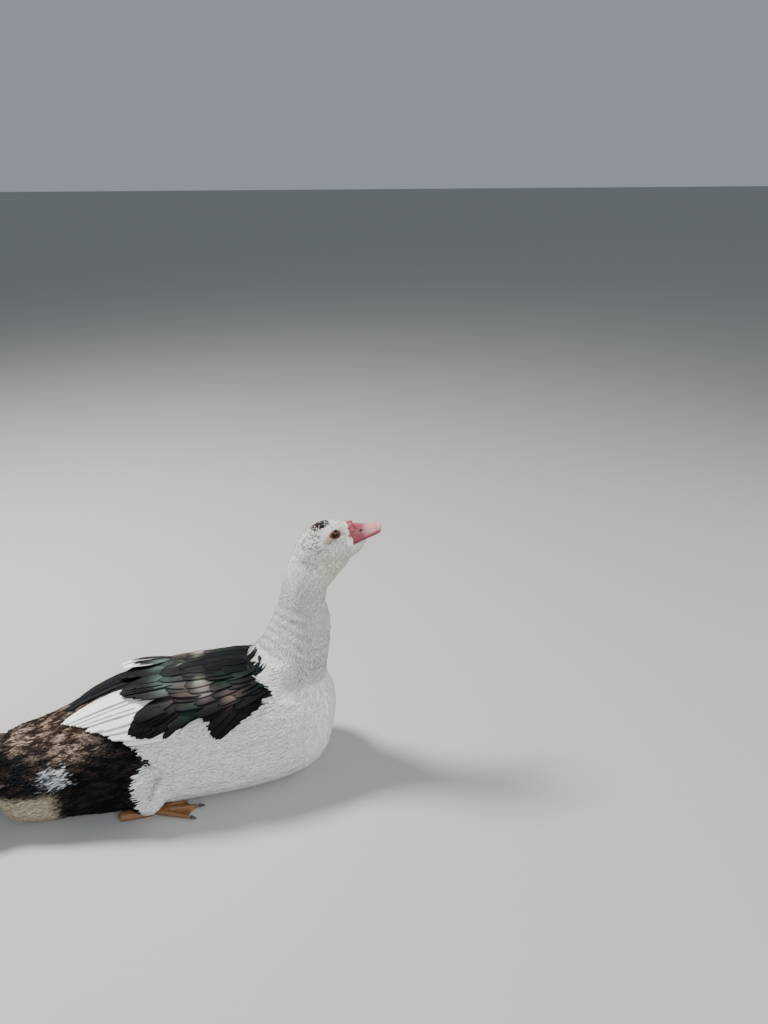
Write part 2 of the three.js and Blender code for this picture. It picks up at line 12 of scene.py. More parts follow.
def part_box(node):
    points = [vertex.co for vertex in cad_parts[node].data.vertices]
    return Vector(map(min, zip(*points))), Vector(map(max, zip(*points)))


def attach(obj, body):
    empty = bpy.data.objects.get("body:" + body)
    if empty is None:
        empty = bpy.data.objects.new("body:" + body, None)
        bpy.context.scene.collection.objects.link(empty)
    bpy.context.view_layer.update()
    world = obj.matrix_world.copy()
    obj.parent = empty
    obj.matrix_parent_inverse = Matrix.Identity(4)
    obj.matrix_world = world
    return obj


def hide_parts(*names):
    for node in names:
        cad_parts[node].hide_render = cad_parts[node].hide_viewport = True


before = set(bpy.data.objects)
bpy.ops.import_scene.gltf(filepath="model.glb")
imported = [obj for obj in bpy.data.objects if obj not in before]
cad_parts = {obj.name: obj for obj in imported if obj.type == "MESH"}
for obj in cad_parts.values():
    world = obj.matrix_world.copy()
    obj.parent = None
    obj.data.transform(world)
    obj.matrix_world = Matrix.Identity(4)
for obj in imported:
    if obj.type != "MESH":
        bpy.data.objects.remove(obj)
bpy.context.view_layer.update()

MM = 0.001
RIGHT, LEFT = -1, 1
SIDES = {"right": RIGHT, "left": LEFT}
CHANCE = np.random.default_rng(12)

# The duck's own axes start under its back. This is how far they lie from the frame's, along X.
EYE_X = 192
EYE_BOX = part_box("eye_right")
SHIFT = (EYE_BOX[0].x + EYE_BOX[1].x) / 2 / MM - EYE_X


def from_duck(points):
    """Places in metres in the frame, from places in millimetres on the duck's own axes."""
    return (np.asarray(points, float) + (SHIFT, 0, 0)) * MM


def to_duck(points):
    """Places in millimetres on the duck's own axes, from places in metres in the frame."""
    return np.asarray(points, float) / MM - (SHIFT, 0, 0)


# Camera
# Image and focal length are in pixels, sensor and places in millimetres, and angles in degrees.
IMAGE = (768, 1024)
FOCAL = 769
SENSOR = 36
CAMERA = {"height": 850, "pitch": 24.3, "turn": 15, "aside": -258, "ahead": 925}


def make_camera():
    """The photograph's view: the duck sits low and to the left, with its tail past the edge."""
    turn = Matrix.Rotation(-math.radians(CAMERA["turn"]), 3, "Z")
    place = turn @ Vector((-CAMERA["aside"], -CAMERA["ahead"], CAMERA["height"]))
    camera = shown("camera", bpy.data.cameras.new("camera"))
    camera.data.sensor_width = SENSOR
    camera.data.lens = SENSOR * FOCAL / max(IMAGE)
    camera.location = Vector(from_duck(place))
    tilt = Matrix.Rotation(math.radians(90 - CAMERA["pitch"]), 3, "X")
    camera.rotation_euler = (turn @ tilt).to_euler()
    bpy.context.scene.camera = camera


# Light and floor
# Lamps are discs, with their places in millimetres, their size in metres and their power in watts.
LAMPS = (
    {"name": "key", "place": (-900, 700, 2000), "size": 0.5, "power": 110, "warmth": (1, 0.96, 0.9)},
    {"name": "fill", "place": (300, -1900, 1300), "size": 1.6, "power": 32, "warmth": (0.93, 0.96, 1)},
    {"name": "front", "place": (1800, -300, 1100), "size": 1.8, "power": 16, "warmth": (1, 1, 1)},
)
SKY = (0.7, 0.78, 0.88)
SKY_STRENGTH = 0.4
LAMPS_AIM = (0, 0, 150)
FLOOR_COLOUR = (0.40, 0.40, 0.38)
FLOOR_HALF = 30000


def make_lamps():
    for lamp in LAMPS:
        light = bpy.data.lights.new(lamp["name"], "AREA")
        light.shape = "DISK"
        light.size = lamp["size"]
        light.energy = lamp["power"]
        light.color = lamp["warmth"]
        holder = shown(lamp["name"], light)
        holder.location = Vector(from_duck(lamp["place"]))
        aim = Vector(from_duck(LAMPS_AIM)) - holder.location
        holder.rotation_euler = aim.to_track_quat("-Z", "Y").to_euler()
    world = bpy.data.worlds.new("studio")
    world.use_nodes = True
    sky = world.node_tree.nodes["Background"]
    sky.inputs["Color"].default_value = (*SKY, 1)
    sky.inputs["Strength"].default_value = SKY_STRENGTH
    bpy.context.scene.world = world


def make_floor():
    mesh = bmesh.new()
    bmesh.ops.create_grid(mesh, x_segments=1, y_segments=1, size=FLOOR_HALF * MM)
    floor = placed("floor", mesh)
    floor.data.materials.append(material("floor_paint", FLOOR_COLOUR, roughness=0.9))


# Materials
SETTINGS = ("operation", "attribute_name", "uv_map", "node_tree")


def feed(tree, socket, value):
    """Sets a node's input to a value, or links it to another node's output."""
    if isinstance(value, bpy.types.NodeSocket):
        tree.links.new(value, socket)
    else:
        socket.default_value = value


def wired(made, kind, **values):
    """A new node in a material or group, with its settings and inputs given by name."""
    tree = getattr(made, "node_tree", made)
    node = tree.nodes.new(kind)
    for key, value in values.items():
        if key in SETTINGS:
            setattr(node, key, value)
        else:
            feed(tree, node.inputs[key.replace("_", " ")], value)
    return node


def maths(made, operation, *terms):
    """What a maths node puts out for its terms, which are numbers or other nodes' outputs."""
    node = wired(made, "ShaderNodeMath", operation=operation)
    for socket, term in zip(node.inputs, terms):
        feed(node.id_data, socket, term)
    return node.outputs[0]


def on_object(made):
    return wired(made, "ShaderNodeTexCoord").outputs["Object"]


def set_shader(made, **sockets):
    """Sets the sockets of a material's shader, or links them to other nodes' outputs."""
    shader = made.node_tree.nodes["Principled BSDF"]
    for key, value in sockets.items():
        label = key.replace("_", " ").title().replace("Ior", "IOR")
        feed(made.node_tree, shader.inputs[label], value)


def material(name, colour, **sockets):
    """A Principled material, with its plain values set on the shader's own sockets."""
    made = bpy.data.materials.new(name)
    made.use_nodes = True
    set_shader(made, base_color=(*colour, 1), **sockets)
    return made


def group(name, inputs, outputs):
    """An empty node group, from the kinds of its named sockets, with what it takes and gives."""
    tree = bpy.data.node_groups.new(name, "ShaderNodeTree")
    for direction, sockets in (("INPUT", inputs), ("OUTPUT", outputs)):
        for label, kind in sockets.items():
            tree.interface.new_socket(label, in_out=direction, socket_type="NodeSocket" + kind)
    taken, given = [tree.nodes.new("NodeGroup" + end) for end in ("Input", "Output")]
    return tree, taken.outputs, given.inputs


def barb_group():
    """Fine slanting barbs on both sides of a feather's shaft, from its own map in metres."""
    tree, taken, given = group("barbs", {"Spacing": "Float", "Slant": "Float"}, {"Height": "Float"})
    vane = wired(tree, "ShaderNodeUVMap", uv_map="Vane").outputs["UV"]
    split = wired(tree, "ShaderNodeSeparateXYZ", Vector=vane).outputs
    slanted = maths(tree, "MULTIPLY", maths(tree, "ABSOLUTE", split["X"]), taken["Slant"])
    steps = maths(tree, "DIVIDE", maths(tree, "SUBTRACT", split["Y"], slanted), taken["Spacing"])
    barbs = maths(tree, "PINGPONG", steps, 1)
    coarse = wired(tree, "ShaderNodeTexNoise", Vector=on_object(tree), Scale=420.0, Detail=2.0)
    feed(tree, given["Height"], maths(tree, "ADD", barbs, coarse.outputs[0]))
    return tree


def blotch_group():
    """A colour made lighter and darker in soft blotches."""
    kinds = {"Color": "Color", "Scale": "Float", "Amount": "Float"}
    tree, taken, given = group("blotches", kinds, {"Color": "Color"})
    place = on_object(tree)
    noise = wired(tree, "ShaderNodeTexNoise", Vector=place, Scale=taken["Scale"], Detail=5.0)
    centred = maths(tree, "SUBTRACT", noise.outputs[0], 0.5)
    share = maths(tree, "MULTIPLY_ADD", centred, taken["Amount"], 1)
    scaled = wired(tree, "ShaderNodeVectorMath", operation="SCALE", Vector=taken["Color"], Scale=share)
    feed(tree, given["Color"], scaled.outputs[0])
    return tree


BARBS = barb_group()
BLOTCHES = blotch_group()

# How rough the glossiest feathers are, how far barbs lean, and how much finer than its blotches horn is.
GLOSSY = 0.34
BARB_SLANT = 1.1
GRAINS_IN_BLOTCH = 7


def toned(made, scale, amount):
    """Colours a material from the piece's Coat attribute, in soft blotches, and returns that."""
    coat = wired(made, "ShaderNodeAttribute", attribute_name="Coat").outputs
    tone = wired(made, "ShaderNodeGroup", node_tree=BLOTCHES, Scale=scale, Amount=amount)
    feed(made.node_tree, tone.inputs["Color"], coat["Color"])
    set_shader(made, base_color=tone.outputs["Color"])
    return coat


def coat_material(name, spacing, relief, blotch, amount=0.16, dull=0.62, **sockets):
    """Feathers in the colours of the piece's Coat attribute, whose alpha is how glossy they are."""
    made = material(name, (1, 1, 1), **sockets)
    gloss = toned(made, blotch, amount)["Alpha"]
    rough = wired(made, "ShaderNodeMapRange", Value=gloss, To_Min=dull, To_Max=GLOSSY)
    barbs = wired(made, "ShaderNodeGroup", node_tree=BARBS, Spacing=spacing, Slant=BARB_SLANT)
    bump = wired(made, "ShaderNodeBump", Strength=0.5, Distance=relief, Height=barbs.outputs[0])
    set_shader(made, roughness=rough.outputs[0], normal=bump.outputs[0])
    return made


def horn_material(name, scale, amount, relief, **sockets):
    """Bare skin or horn in the colours of the piece's Coat attribute, under a fine grain."""
    made = material(name, (1, 1, 1), **sockets)
    toned(made, scale, amount)
    fine = scale * GRAINS_IN_BLOTCH
    grain = wired(made, "ShaderNodeTexNoise", Vector=on_object(made), Scale=fine, Detail=3.0)
    bump = wired(made, "ShaderNodeBump", Strength=0.6, Distance=relief, Height=grain.outputs[0])
    set_shader(made, normal=bump.outputs[0])
    return made


# Light goes a little way into pale feathers, and red light furthest.
DOWNY = {
    "specular_ior_level": 0.1,
    "subsurface_weight": 0.22,
    "subsurface_radius": (1.0, 0.9, 0.8),
    "subsurface_scale": 0.002,
}
# The looks of the plumage: spacing and relief of the barbs in metres, how fine the blotches are and how
# much they vary, and how rough dull feathers are.
VANE_LOOK = dict(spacing=0.0012, relief=0.0004, blotch=50, amount=0.3, dull=0.6)
PLUMAGE = {
    "down": dict(spacing=0.0015, relief=0.0004, blotch=120, dull=0.8, specular_ior_level=0.1),
    "body": dict(spacing=0.0011, relief=0.0004, blotch=60, **DOWNY),
    "neck": dict(spacing=0.0009, relief=0.0003, blotch=60, dull=0.7, **DOWNY),
    "head": dict(spacing=0.0008, relief=0.0002, blotch=90, dull=0.7, **DOWNY),
    "rump": dict(spacing=0.0011, relief=0.0004, blotch=60, dull=0.8, specular_ior_level=0.08),
    "wing": dict(**VANE_LOOK, specular_ior_level=0.1),
    "tail": dict(**VANE_LOOK, specular_ior_level=0.12),
}


# Pieces
def shown(name, data):
    """A new object in the scene, at the origin. Data is a mesh, a lamp or a camera."""
    made = bpy.data.objects.new(name, data)
    bpy.context.scene.collection.objects.link(made)
    return made


def placed(name, mesh):
    """A new piece from a bmesh, which is freed."""
    data = bpy.data.meshes.new(name)
    mesh.to_mesh(data)
    mesh.free()
    return shown(name, data)


def dress(piece, look, slot, *nodes):
    """Gives a piece its material, and lets it stand for CAD nodes. The slot is not used."""
    piece.data.materials.clear()
    piece.data.materials.append(look)
    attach(piece, "root")
    if nodes:
        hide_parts(*nodes)
    return piece


def smooth(piece):
    piece.data.polygons.foreach_set("use_smooth", np.ones(len(piece.data.polygons), bool))


def melted(name, nodes, voxel, rounds, swell=0.0):
    """One smooth closed mesh from copies of CAD nodes, remeshed and relaxed."""
    mesh = bmesh.new()
    for node in nodes:
        mesh.from_mesh(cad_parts[node].data)
    bmesh.ops.remove_doubles(mesh, verts=mesh.verts, dist=1e-6)
    bmesh.ops.recalc_face_normals(mesh, faces=mesh.faces)
    mesh.normal_update()
    for vert in mesh.verts:
        vert.co += vert.normal * swell
    rough = placed(name + "_rough", mesh)
    remesh = rough.modifiers.new("remesh", "REMESH")
    remesh.mode = "VOXEL"
    remesh.voxel_size = voxel
    relax = rough.modifiers.new("relax", "SMOOTH")
    relax.factor = 0.5
    relax.iterations = rounds
    graph = bpy.context.evaluated_depsgraph_get()
    data = bpy.data.meshes.new_from_object(rough.evaluated_get(graph))
    data.name = name
    bpy.data.objects.remove(rough)
    made = shown(name, data)
    smooth(made)
    return made


def points_of(data):
    flat = np.empty(len(data.vertices) * 3)
    data.vertices.foreach_get("co", flat)
    return flat.reshape(-1, 3)


def normals_of(data):
    flat = np.empty(len(data.vertices) * 3)
    data.vertex_normals.foreach_get("vector", flat)
    return flat.reshape(-1, 3)


def move_points(data, points):
    data.vertices.foreach_set("co", np.ascontiguousarray(points, np.float32).ravel())
    data.update()


# Places on the trunk
LOOSE_POINTS = 8


def trunk_rings():
    """The trunk's sections along X: its back, belly, half width, and how high it is widest."""
    spots = to_duck(points_of(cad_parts["torso"].data))
    rings = []
    for x in np.unique(np.round(spots[:, 0], 1)):
        ring = spots[np.abs(spots[:, 0] - x) < 0.2]
        if len(ring) > LOOSE_POINTS:
            widest = ring[np.abs(ring[:, 1]).argmax()]
            rings.append((x, ring[:, 2].max(), ring[:, 2].min(), abs(widest[1]), widest[2]))
    return np.array(rings)


RINGS = trunk_rings()


def section(x):
    """Back, belly, half width and widest height of the trunk at places along X."""
    return [np.interp(x, RINGS[:, 0], RINGS[:, k]) for k in (1, 2, 3, 4)]


def arc_of(points):
    """How far up the trunk's side places lie from where it is widest, in millimetres round the skin."""
    x, y, z = np.asarray(points).T
    top, belly, half, wide = section(x)
    rise = np.where(z > wide, top - wide, wide - belly)
    angle = np.arctan2((z - wide) / np.maximum(rise, 1), np.abs(y) / np.maximum(half, 1))
    return angle * (half + top - wide) / 2


def inside(polygon, x, y):
    """Which places lie inside a polygon."""
    found = np.zeros(len(x), bool)
    corners = list(polygon)
    for (ax, ay), (bx, by) in zip(corners, corners[1:] + corners[:1]):
        crosses = (ay > y) != (by > y)
        with np.errstate(divide="ignore", invalid="ignore"):
            found ^= crosses & (x < (bx - ax) * (y - ay) / (by - ay) + ax)
    return found


def ramp(value, low, high):
    """0 below low and 1 above high, smooth between."""
    t = np.clip((value - low) / (high - low), 0, 1)
    return t * t * (3 - 2 * t)


# Colours of the plumage, with how glossy each is
WHITE = (0.82, 0.82, 0.80, 0.0)
SHADE = (0.70, 0.74, 0.80, 0.0)
CREAM = (0.66, 0.57, 0.40, 0.0)
# Painted shade, laid in the fold in front of the thigh.
FOLD_SHADE = (0.075, 0.078, 0.10, 0.1)
BLACK = (0.0016, 0.0024, 0.0036, 0.2)
GREEN = (0.005, 0.026, 0.021, 0.3)
SEA = (0.085, 0.13, 0.11, 0.2)
PALE_GREEN = (0.26, 0.32, 0.22, 0.1)
BRONZE = (0.30, 0.26, 0.235, 0.1)
BROWN = (0.034, 0.022, 0.016, 0.0)
DUSK = (0.05, 0.046, 0.042, 0.1)
RUSSET = (0.085, 0.06, 0.05, 0.1)
TAN = (0.38, 0.29, 0.23, 0.0)
RUST = (0.34, 0.14, 0.045, 0.0)
CROWN = (0.012, 0.009, 0.008, 0.0)
CROWN_REAR = (0.05, 0.022, 0.01, 0.0)

# Outlines of the markings on the trunk's side, as places along X and up the side in millimetres.
MANTLE = (
    (79, 180), (79, 142), (68, 140), (86, 114), (66, 113), (82, 94), (86, 82), (72, 78), (56, 70),
    (43, 64), (25, 50), (1, 41), (-14, 61), (-8, 73), (-14, 84), (-29, 80), (-44, 69), (-68, 56),
    (-71, 74), (-77, 64), (-98, 56), (-116, 61), (-107, 82), (-89, 94), (-74, 106), (-122, 112),
    (-107, 127), (-125, 180),
)
RUMP_FRONT = (
    (-96, -160), (-108, -60), (-116, -34), (-117, -14), (-113, 6), (-102, 18), (-90, 24), (-101, 38),
    (-113, 55), (-72, 70), (-72, 180),
)
EDGE_STRAY = 1.6
TUFT = {"x": -214, "arc": 29, "long": 21, "high": 18}
VENT = {"x": -218, "arc": 4}

# The fold in front of the thigh: places up the side, and where the fold lies along X there, how wide it is
# and how deep the skin sinks, in millimetres, and how strongly painted shade darkens it.
THIGH_FOLD = {"arc": (-29, -8, 4, 24), "x": (-94, -82, -80, -95), "wide": 4, "deep": 4, "dark": 0.55}


def thigh_fold(spots):
    """How near places lie to the fold in front of the thigh, from 0 to 1."""
    arc = arc_of(spots)
    far = (spots[:, 0] - np.interp(arc, THIGH_FOLD["arc"], THIGH_FOLD["x"])) / THIGH_FOLD["wide"]
    return np.exp(-(far**2)) * ramp(arc, -42, -28) * ramp(30 - arc, 0, 9)


def speckle(count, low, high):
    return CHANCE.uniform(low, high, (count, 1))


def plain(colour, count):
    return np.tile(colour, (count, 1))


def paint(base, colour, share):
    """A mix of two sets of colours by share, one for each place."""
    share = np.clip(np.asarray(share, float), 0, 1).reshape(-1, 1)
    return base * (1 - share) + np.asarray(colour) * share


def clumps(a, b, size):
    """A soft pattern of patches over two ways along the skin, from -1 to 1."""
    a, b = a / size, b / size
    return np.sin(a + 1.7 * np.sin(0.8 * b)) * np.sin(1.2 * b + 1.3 * np.sin(0.7 * a + 1))


def rump_colours(x, arc):
    """Near black, broken up into brown and tan toward the top and the tail."""
    top = ramp(arc + 0.3 * (x + 200), 30, 78) * ramp(-x, 135, 190)
    patch = clumps(0.6 * x, arc, 5) + CHANCE.normal(0, 0.3, len(x))
    dark = paint(plain(BLACK, len(x)), BROWN, 0.1 + 0.8 * top + 0.2 * patch)
    tan = ramp(patch, -0.4, 0.7) * (0.03 + 0.97 * top) * CHANCE.uniform(0.25, 1, len(x))
    return paint(dark, TAN, tan)


def mantle_colours(count):
    green = np.clip(CHANCE.normal(0.3, 0.3, count), 0, 1)
    return paint(plain(BLACK, count), GREEN, green)


def tuft_share(x, arc, edge_x, edge_arc):
    """How much of the pale, streaky tuft on the rump's side places have, from 0 to 1."""
    along = (edge_x - TUFT["x"]) / TUFT["long"]
    reach = along**2 + ((edge_arc - TUFT["arc"]) / TUFT["high"]) ** 2
    streaks = clumps(0.4 * (x + arc), arc - x, 2.4) + CHANCE.normal(0, 0.5, len(x))
    return ramp(1.2 - reach + 0.9 * streaks, 0, 1.5) * (reach < 1.9) * CHANCE.uniform(0.3, 1, len(x))


def trunk_colours(spots):
    """The trunk's colours at places on the duck's own axes, with ragged edges to the markings."""
    x, arc = spots[:, 0], arc_of(spots)
    count = len(x)
    edge_x, edge_arc = (x, arc) + CHANCE.normal(0, EDGE_STRAY, (2, count))
    front = np.interp(edge_arc, [place[1] for place in RUMP_FRONT], [place[0] for place in RUMP_FRONT])
    colours = np.where((edge_x < front)[:, None], rump_colours(x, arc), plain(WHITE, count))
    colours = np.where(inside(MANTLE, edge_x, edge_arc)[:, None], mantle_colours(count), colours)
    colours = paint(colours, SHADE, tuft_share(x, arc, edge_x, edge_arc))
    # Painted shade darkens the fold in front of the thigh.
    colours = paint(colours, FOLD_SHADE, THIGH_FOLD["dark"] * thigh_fold(spots))
    vent = ramp(VENT["x"] - edge_x, -6, 14) * ramp(VENT["arc"] - edge_arc, -8, 8)
    return paint(colours, CREAM, vent * CHANCE.uniform(0.5, 1, count))


def neck_colours(spots):
    """White, warmed toward cream by painted shade over the neck and more on the throat, with a little tan in
    the creases of the nape.
    """
    x, _, z = spots.T
    colours = plain(WHITE, len(x)) * speckle(len(x), 0.95, 1.02)
    # Painted warm shade: a slight cream over the neck above its foot, and more on the throat.
    colours = paint(colours, CREAM, 0.16 * ramp(z, 190, 250))
    throat_shade = ramp(z, 278, 318) * ramp(x, 152, 180) * ramp(372 - z, 0, 30)
    colours = paint(colours, CREAM, throat_shade * 0.5)
    nape = ramp(z, 215, 250) * ramp(318 - z, 0, 40) * ramp(168 - x, 0, 40)
    flecks = (CHANCE.random(len(x)) < 0.3) * CHANCE.uniform(0.05, 0.4, len(x))
    return paint(colours, TAN, nape * flecks)


CROWN_PATCH = {"x": 174, "long": 13.5, "wide": 12, "over": 378}
FLECKS = {"x": (138, 150, 168, 176), "z": (350, 370)}
EYE = {"x": 192, "y": 15.5, "z": 383, "bare": 6.2}
EYE_RUST = {"long": 12, "high": 7}


def head_colours(spots):
    """White, with a dark patch on the crown, dark flecks behind it and rust about the eye."""
    x, y, z = spots.T
    colours = neck_colours(spots)
    crown = ((x - CROWN_PATCH["x"]) / CROWN_PATCH["long"]) ** 2 + (y / CROWN_PATCH["wide"]) ** 2
    near = (crown + CHANCE.normal(0, 0.2, len(x)) < 1) & (z > CROWN_PATCH["over"])
    dark = near & (CHANCE.random(len(x)) < 0.9)
    brown = ramp(CROWN_PATCH["x"] - x, 2, 10)[:, None] * CROWN_REAR
    colours = np.where(dark[:, None], np.array(CROWN) + brown, colours)
    streak = clumps(x + z, 0.5 * (x - z), 1.5)
    behind = ramp(x, *FLECKS["x"][:2]) * (1 - ramp(x, *FLECKS["x"][2:])) * ramp(z, *FLECKS["z"])
    fleck = (streak + CHANCE.normal(0, 0.5, len(x)) > 0.1) * behind * ramp(np.abs(y), 3, 8)
    colours = paint(colours, CROWN, fleck * CHANCE.uniform(0.35, 0.95, len(x)))
    rise, along = z - EYE["z"], x - EYE["x"]
    ahead = (along - 0.4 * rise + 2) / EYE_RUST["long"]
    reach = np.hypot(ahead, (rise - 0.3 * along + 1) / EYE_RUST["high"])
    rust = ramp(1.3 - reach, 0, 0.6) * (np.abs(y) > 8) * CHANCE.uniform(0.45, 1, len(x))
    return paint(colours, RUST, rust * 0.85)


def over_back(spots):
    """How far places stand over the trunk's own back, in millimetres. Behind the neck none do."""
    x, y, z = spots.T
    top, _, half, wide = section(x)
    flat = np.sqrt(np.maximum(1 - (y / np.maximum(half, 1)) ** 2, 0))
    return np.where(x > 30, z - wide - (top - wide) * flat, -9)


def up_neck(spots, lean=0.35):
    """How high places lie, with those further forward counted higher, as the head leans forward."""
    return spots[:, 2] + lean * (spots[:, 0] - 165)


def colours_at(spots):
    """The plumage's colours anywhere on the body. The dark mantle reaches onto the neck's foot."""
    x, y, z = spots.T
    head = ramp(up_neck(spots), 322, 334)[:, None]
    collar = (over_back(spots) > 1.5)[:, None]
    mantle = inside(MANTLE, x, np.minimum(arc_of(spots), 179)) & (z < 198) & (y < 8)
    body = np.where(collar & ~mantle[:, None], neck_colours(spots), trunk_colours(spots))
    return body * (1 - head) + head_colours(spots) * head


# The lie of the coat
BILL_BASE = (226, 0, 374)


def lie_at(spots):
    """The way the feathers point, before it is laid along the skin."""
    x, y, z = spots.T
    outward = 0.12 * np.sign(y) * ramp(-x, 150, 260)
    down = -0.18 - 1.1 * ramp(x, 70, 175)
    trunk = np.stack([np.full(len(x), -1.0), outward, down], 1)
    neck = np.tile((-0.35, 0, -1), (len(x), 1))
    head = spots - BILL_BASE
    head /= np.linalg.norm(head, axis=1, keepdims=True)
    head += (-0.25, 0, -0.3)
    collar = (ramp(z, 178, 215) * ramp(x, 30, 70))[:, None]
    high = ramp(up_neck(spots, 0.4), 325, 352)[:, None]
    way = trunk * (1 - collar) + neck * collar
    return way * (1 - high) + head * high


# Skin
COAT_DEPTH = {"trunk": 2.0, "neck": 1.2, "head": 0.6}
CREASES = {"long": 17, "deep": 0.7}


def creases(spots):
    """How far the skin rises in soft rolls up the neck, and sinks before the thighs, in millimetres."""
    x, y, z = spots.T
    wander = 6 * np.sin(0.07 * y + 0.6) + 5 * np.sin(0.05 * x + 0.03 * z)
    roll = np.sin((z + 0.35 * (x - 140) + wander) * 2 * math.pi / CREASES["long"])
    rolls = CREASES["deep"] * roll * ramp(z, 192, 212) * ramp(300 - z, 0, 40)
    return rolls - THIGH_FOLD["deep"] * thigh_fold(spots)


# The part of the skin that is relaxed further: between which heights, and from where along X.
FILLET = {"low": 150, "high": 222, "from": 60, "rounds": 30}


def soften(skin):
    """Relaxes the skin where the neck grows out of the trunk."""
    mesh = bmesh.new()
    mesh.from_mesh(skin.data)
    x, _, z = to_duck(points_of(skin.data)).T
    near = (z > FILLET["low"]) & (z < FILLET["high"]) & (x > FILLET["from"])
    verts = [vert for vert, chosen in zip(mesh.verts, near) if chosen]
    axes = dict(use_axis_x=True, use_axis_y=True, use_axis_z=True)
    for _ in range(FILLET["rounds"]):
        bmesh.ops.smooth_vert(mesh, verts=verts, factor=0.5, **axes)
    mesh.to_mesh(skin.data)
    mesh.free()


SKIN_NODES = ("torso", "neck", "head", "thigh_right", "thigh_left")


def make_skin():
    """One skin over trunk, neck, head and thighs, inside the solids by the coat's depth."""
    skin = melted("skin", SKIN_NODES, voxel=2.2 * MM, rounds=7, swell=0.4 * MM)
    soften(skin)
    points, normals = points_of(skin.data), normals_of(skin.data)
    spots = to_duck(points)
    high = ramp(spots[:, 2], 200, 300)
    top = ramp(up_neck(spots, 0.4), 330, 350)
    depth = COAT_DEPTH["trunk"] * (1 - high) + COAT_DEPTH["neck"] * high
    depth = depth * (1 - top) + COAT_DEPTH["head"] * top
    depth *= 1 - 0.8 * ramp(-normals[:, 2], 0.4, 0.9) * ramp(14 - spots[:, 2], 0, 8)
    move_points(skin.data, points + normals * ((creases(spots) - depth) * MM)[:, None])
    return skin


def attach_colours(data, colours):
    """Keeps each point's colour, and how glossy it is, in the mesh's Coat attribute."""
    layer = data.color_attributes.new("Coat", "FLOAT_COLOR", "POINT")
    layer.data.foreach_set("color", np.ascontiguousarray(colours, np.float32).ravel())


def finish_skin(skin):
    spots = to_duck(points_of(skin.data))
    colours = colours_at(spots)
    attach_colours(skin.data, colours * (0.97, 0.97, 0.97, 0.5))
    look = coat_material("down", **PLUMAGE["down"])
    dress(skin, look, "body_feathers", *SKIN_NODES)


# Feathers
# A cut gives the rows of a feather from root to tip, its places across, and how far the tip falls short
# at each of them, as shares of its length and half width.
CUTS = {
    "body": {
        "rows": (0, 0.4, 0.72, 0.9, 1),
        "across": (-1, -0.6, -0.2, 0.2, 0.6, 1),
        "short": (0.16, 0.02, 0.09, 0, 0.07, 0.18),
    },
    "lock": {"rows": (0, 0.35, 0.7, 1), "across": (-1, 0, 1), "short": (0.12, 0, 0.16)},
    "speck": {"rows": (0, 0.5, 1), "across": (-1, 0, 1), "short": (0.12, 0, 0.12)},
    "vane": {
        "rows": (0, 0.12, 0.25, 0.38, 0.5, 0.62, 0.73, 0.82, 0.9, 0.96, 1),
        "across": (-1, -0.72, -0.36, -0.06, 0.06, 0.36, 0.72, 1),
        "short": (0.05, 0.015, 0.0, 0.0, 0.0, 0.0, 0.02, 0.06),
    },
}

# How wide a feather is at its root, and how far along it is widest, as shares.
ROOT_WIDTH = 0.35
WIDEST_AT = 0.55

# Each feather has a small square of its own on the bake map, this share of the map wide.
PATCH = 0.0028


def normalised(vectors):
    return vectors / np.maximum(np.linalg.norm(vectors, axis=-1, keepdims=True), 1e-12)


def settle(tree, points):
    """The nearest places on the skin, and the skin's normals there."""
    hits = [tree.find_nearest(Vector(p)) for p in points]
    return np.array([h[0] for h in hits]), np.array([h[1] for h in hits])


def marched(tree, roots, ways, lengths, rows):
    """Each feather's middle line along the skin, from its root: places, normals and ways."""
    place, normal = settle(tree, roots)
    way = ways
    places, normals, headings = [], [], []
    before = 0
    for row in rows:
        step = (row - before) * lengths[:, None]
        before = row
        way = normalised(way - normal * (way * normal).sum(1, keepdims=True))
        moved, turned = settle(tree, place + way * step)
        if row > 0:
            way = normalised(moved - place)
            normal = normalised(normal + turned)
            place = moved
        places.append(place)
        normals.append(normal)
        headings.append(way)
    return [np.stack(part, 1) for part in (places, normals, headings)]


def outline(rows, blunt):
    """How wide a feather is along its length, from 0 to 1."""
    u = np.asarray(rows, float)
    opened = ROOT_WIDTH + (1 - ROOT_WIDTH) * np.sin(np.minimum(1, u / WIDEST_AT) * math.pi / 2)
    return opened * np.maximum(np.sqrt(1 - np.minimum(u, 0.995) ** blunt), 0.12)


def grown(lines, cut, lengths, widths, lifts, ridge, blunt=5.0, camber=0.0, tilt=0.0):
    """The points of each feather, root to tip and edge to edge, and their places on its vane map."""
    places, normals, headings = lines
    u = np.asarray(cut["rows"], float)[None, :, None]
    v = np.asarray(cut["across"], float)[None, None, :]
    short = np.asarray(cut["short"], float)[None, None, :] * (u == 1)
    aside = v * outline(cut["rows"], blunt)[None, :, None] * (widths / 2)[:, None, None]
    rise = lifts[:, :1, None] + (lifts[:, 1:, None] - lifts[:, :1, None]) * u * (2 - u)
    shaft = ridge * (1 - np.abs(v)) * (1 - 0.6 * u) * MM
    height = rise + shaft - camber * aside**2 - tilt * aside
    sideways = np.cross(normals, headings)
    grid = places[:, :, None] + sideways[:, :, None] * aside[..., None]
    grid = grid + normals[:, :, None] * height[..., None]
    grid = grid - headings[:, :, None] * (short * lengths[:, None, None])[..., None]
    along = np.broadcast_to(u * lengths[:, None, None], grid.shape[:3])
    return grid, np.stack([aside, along], -1)


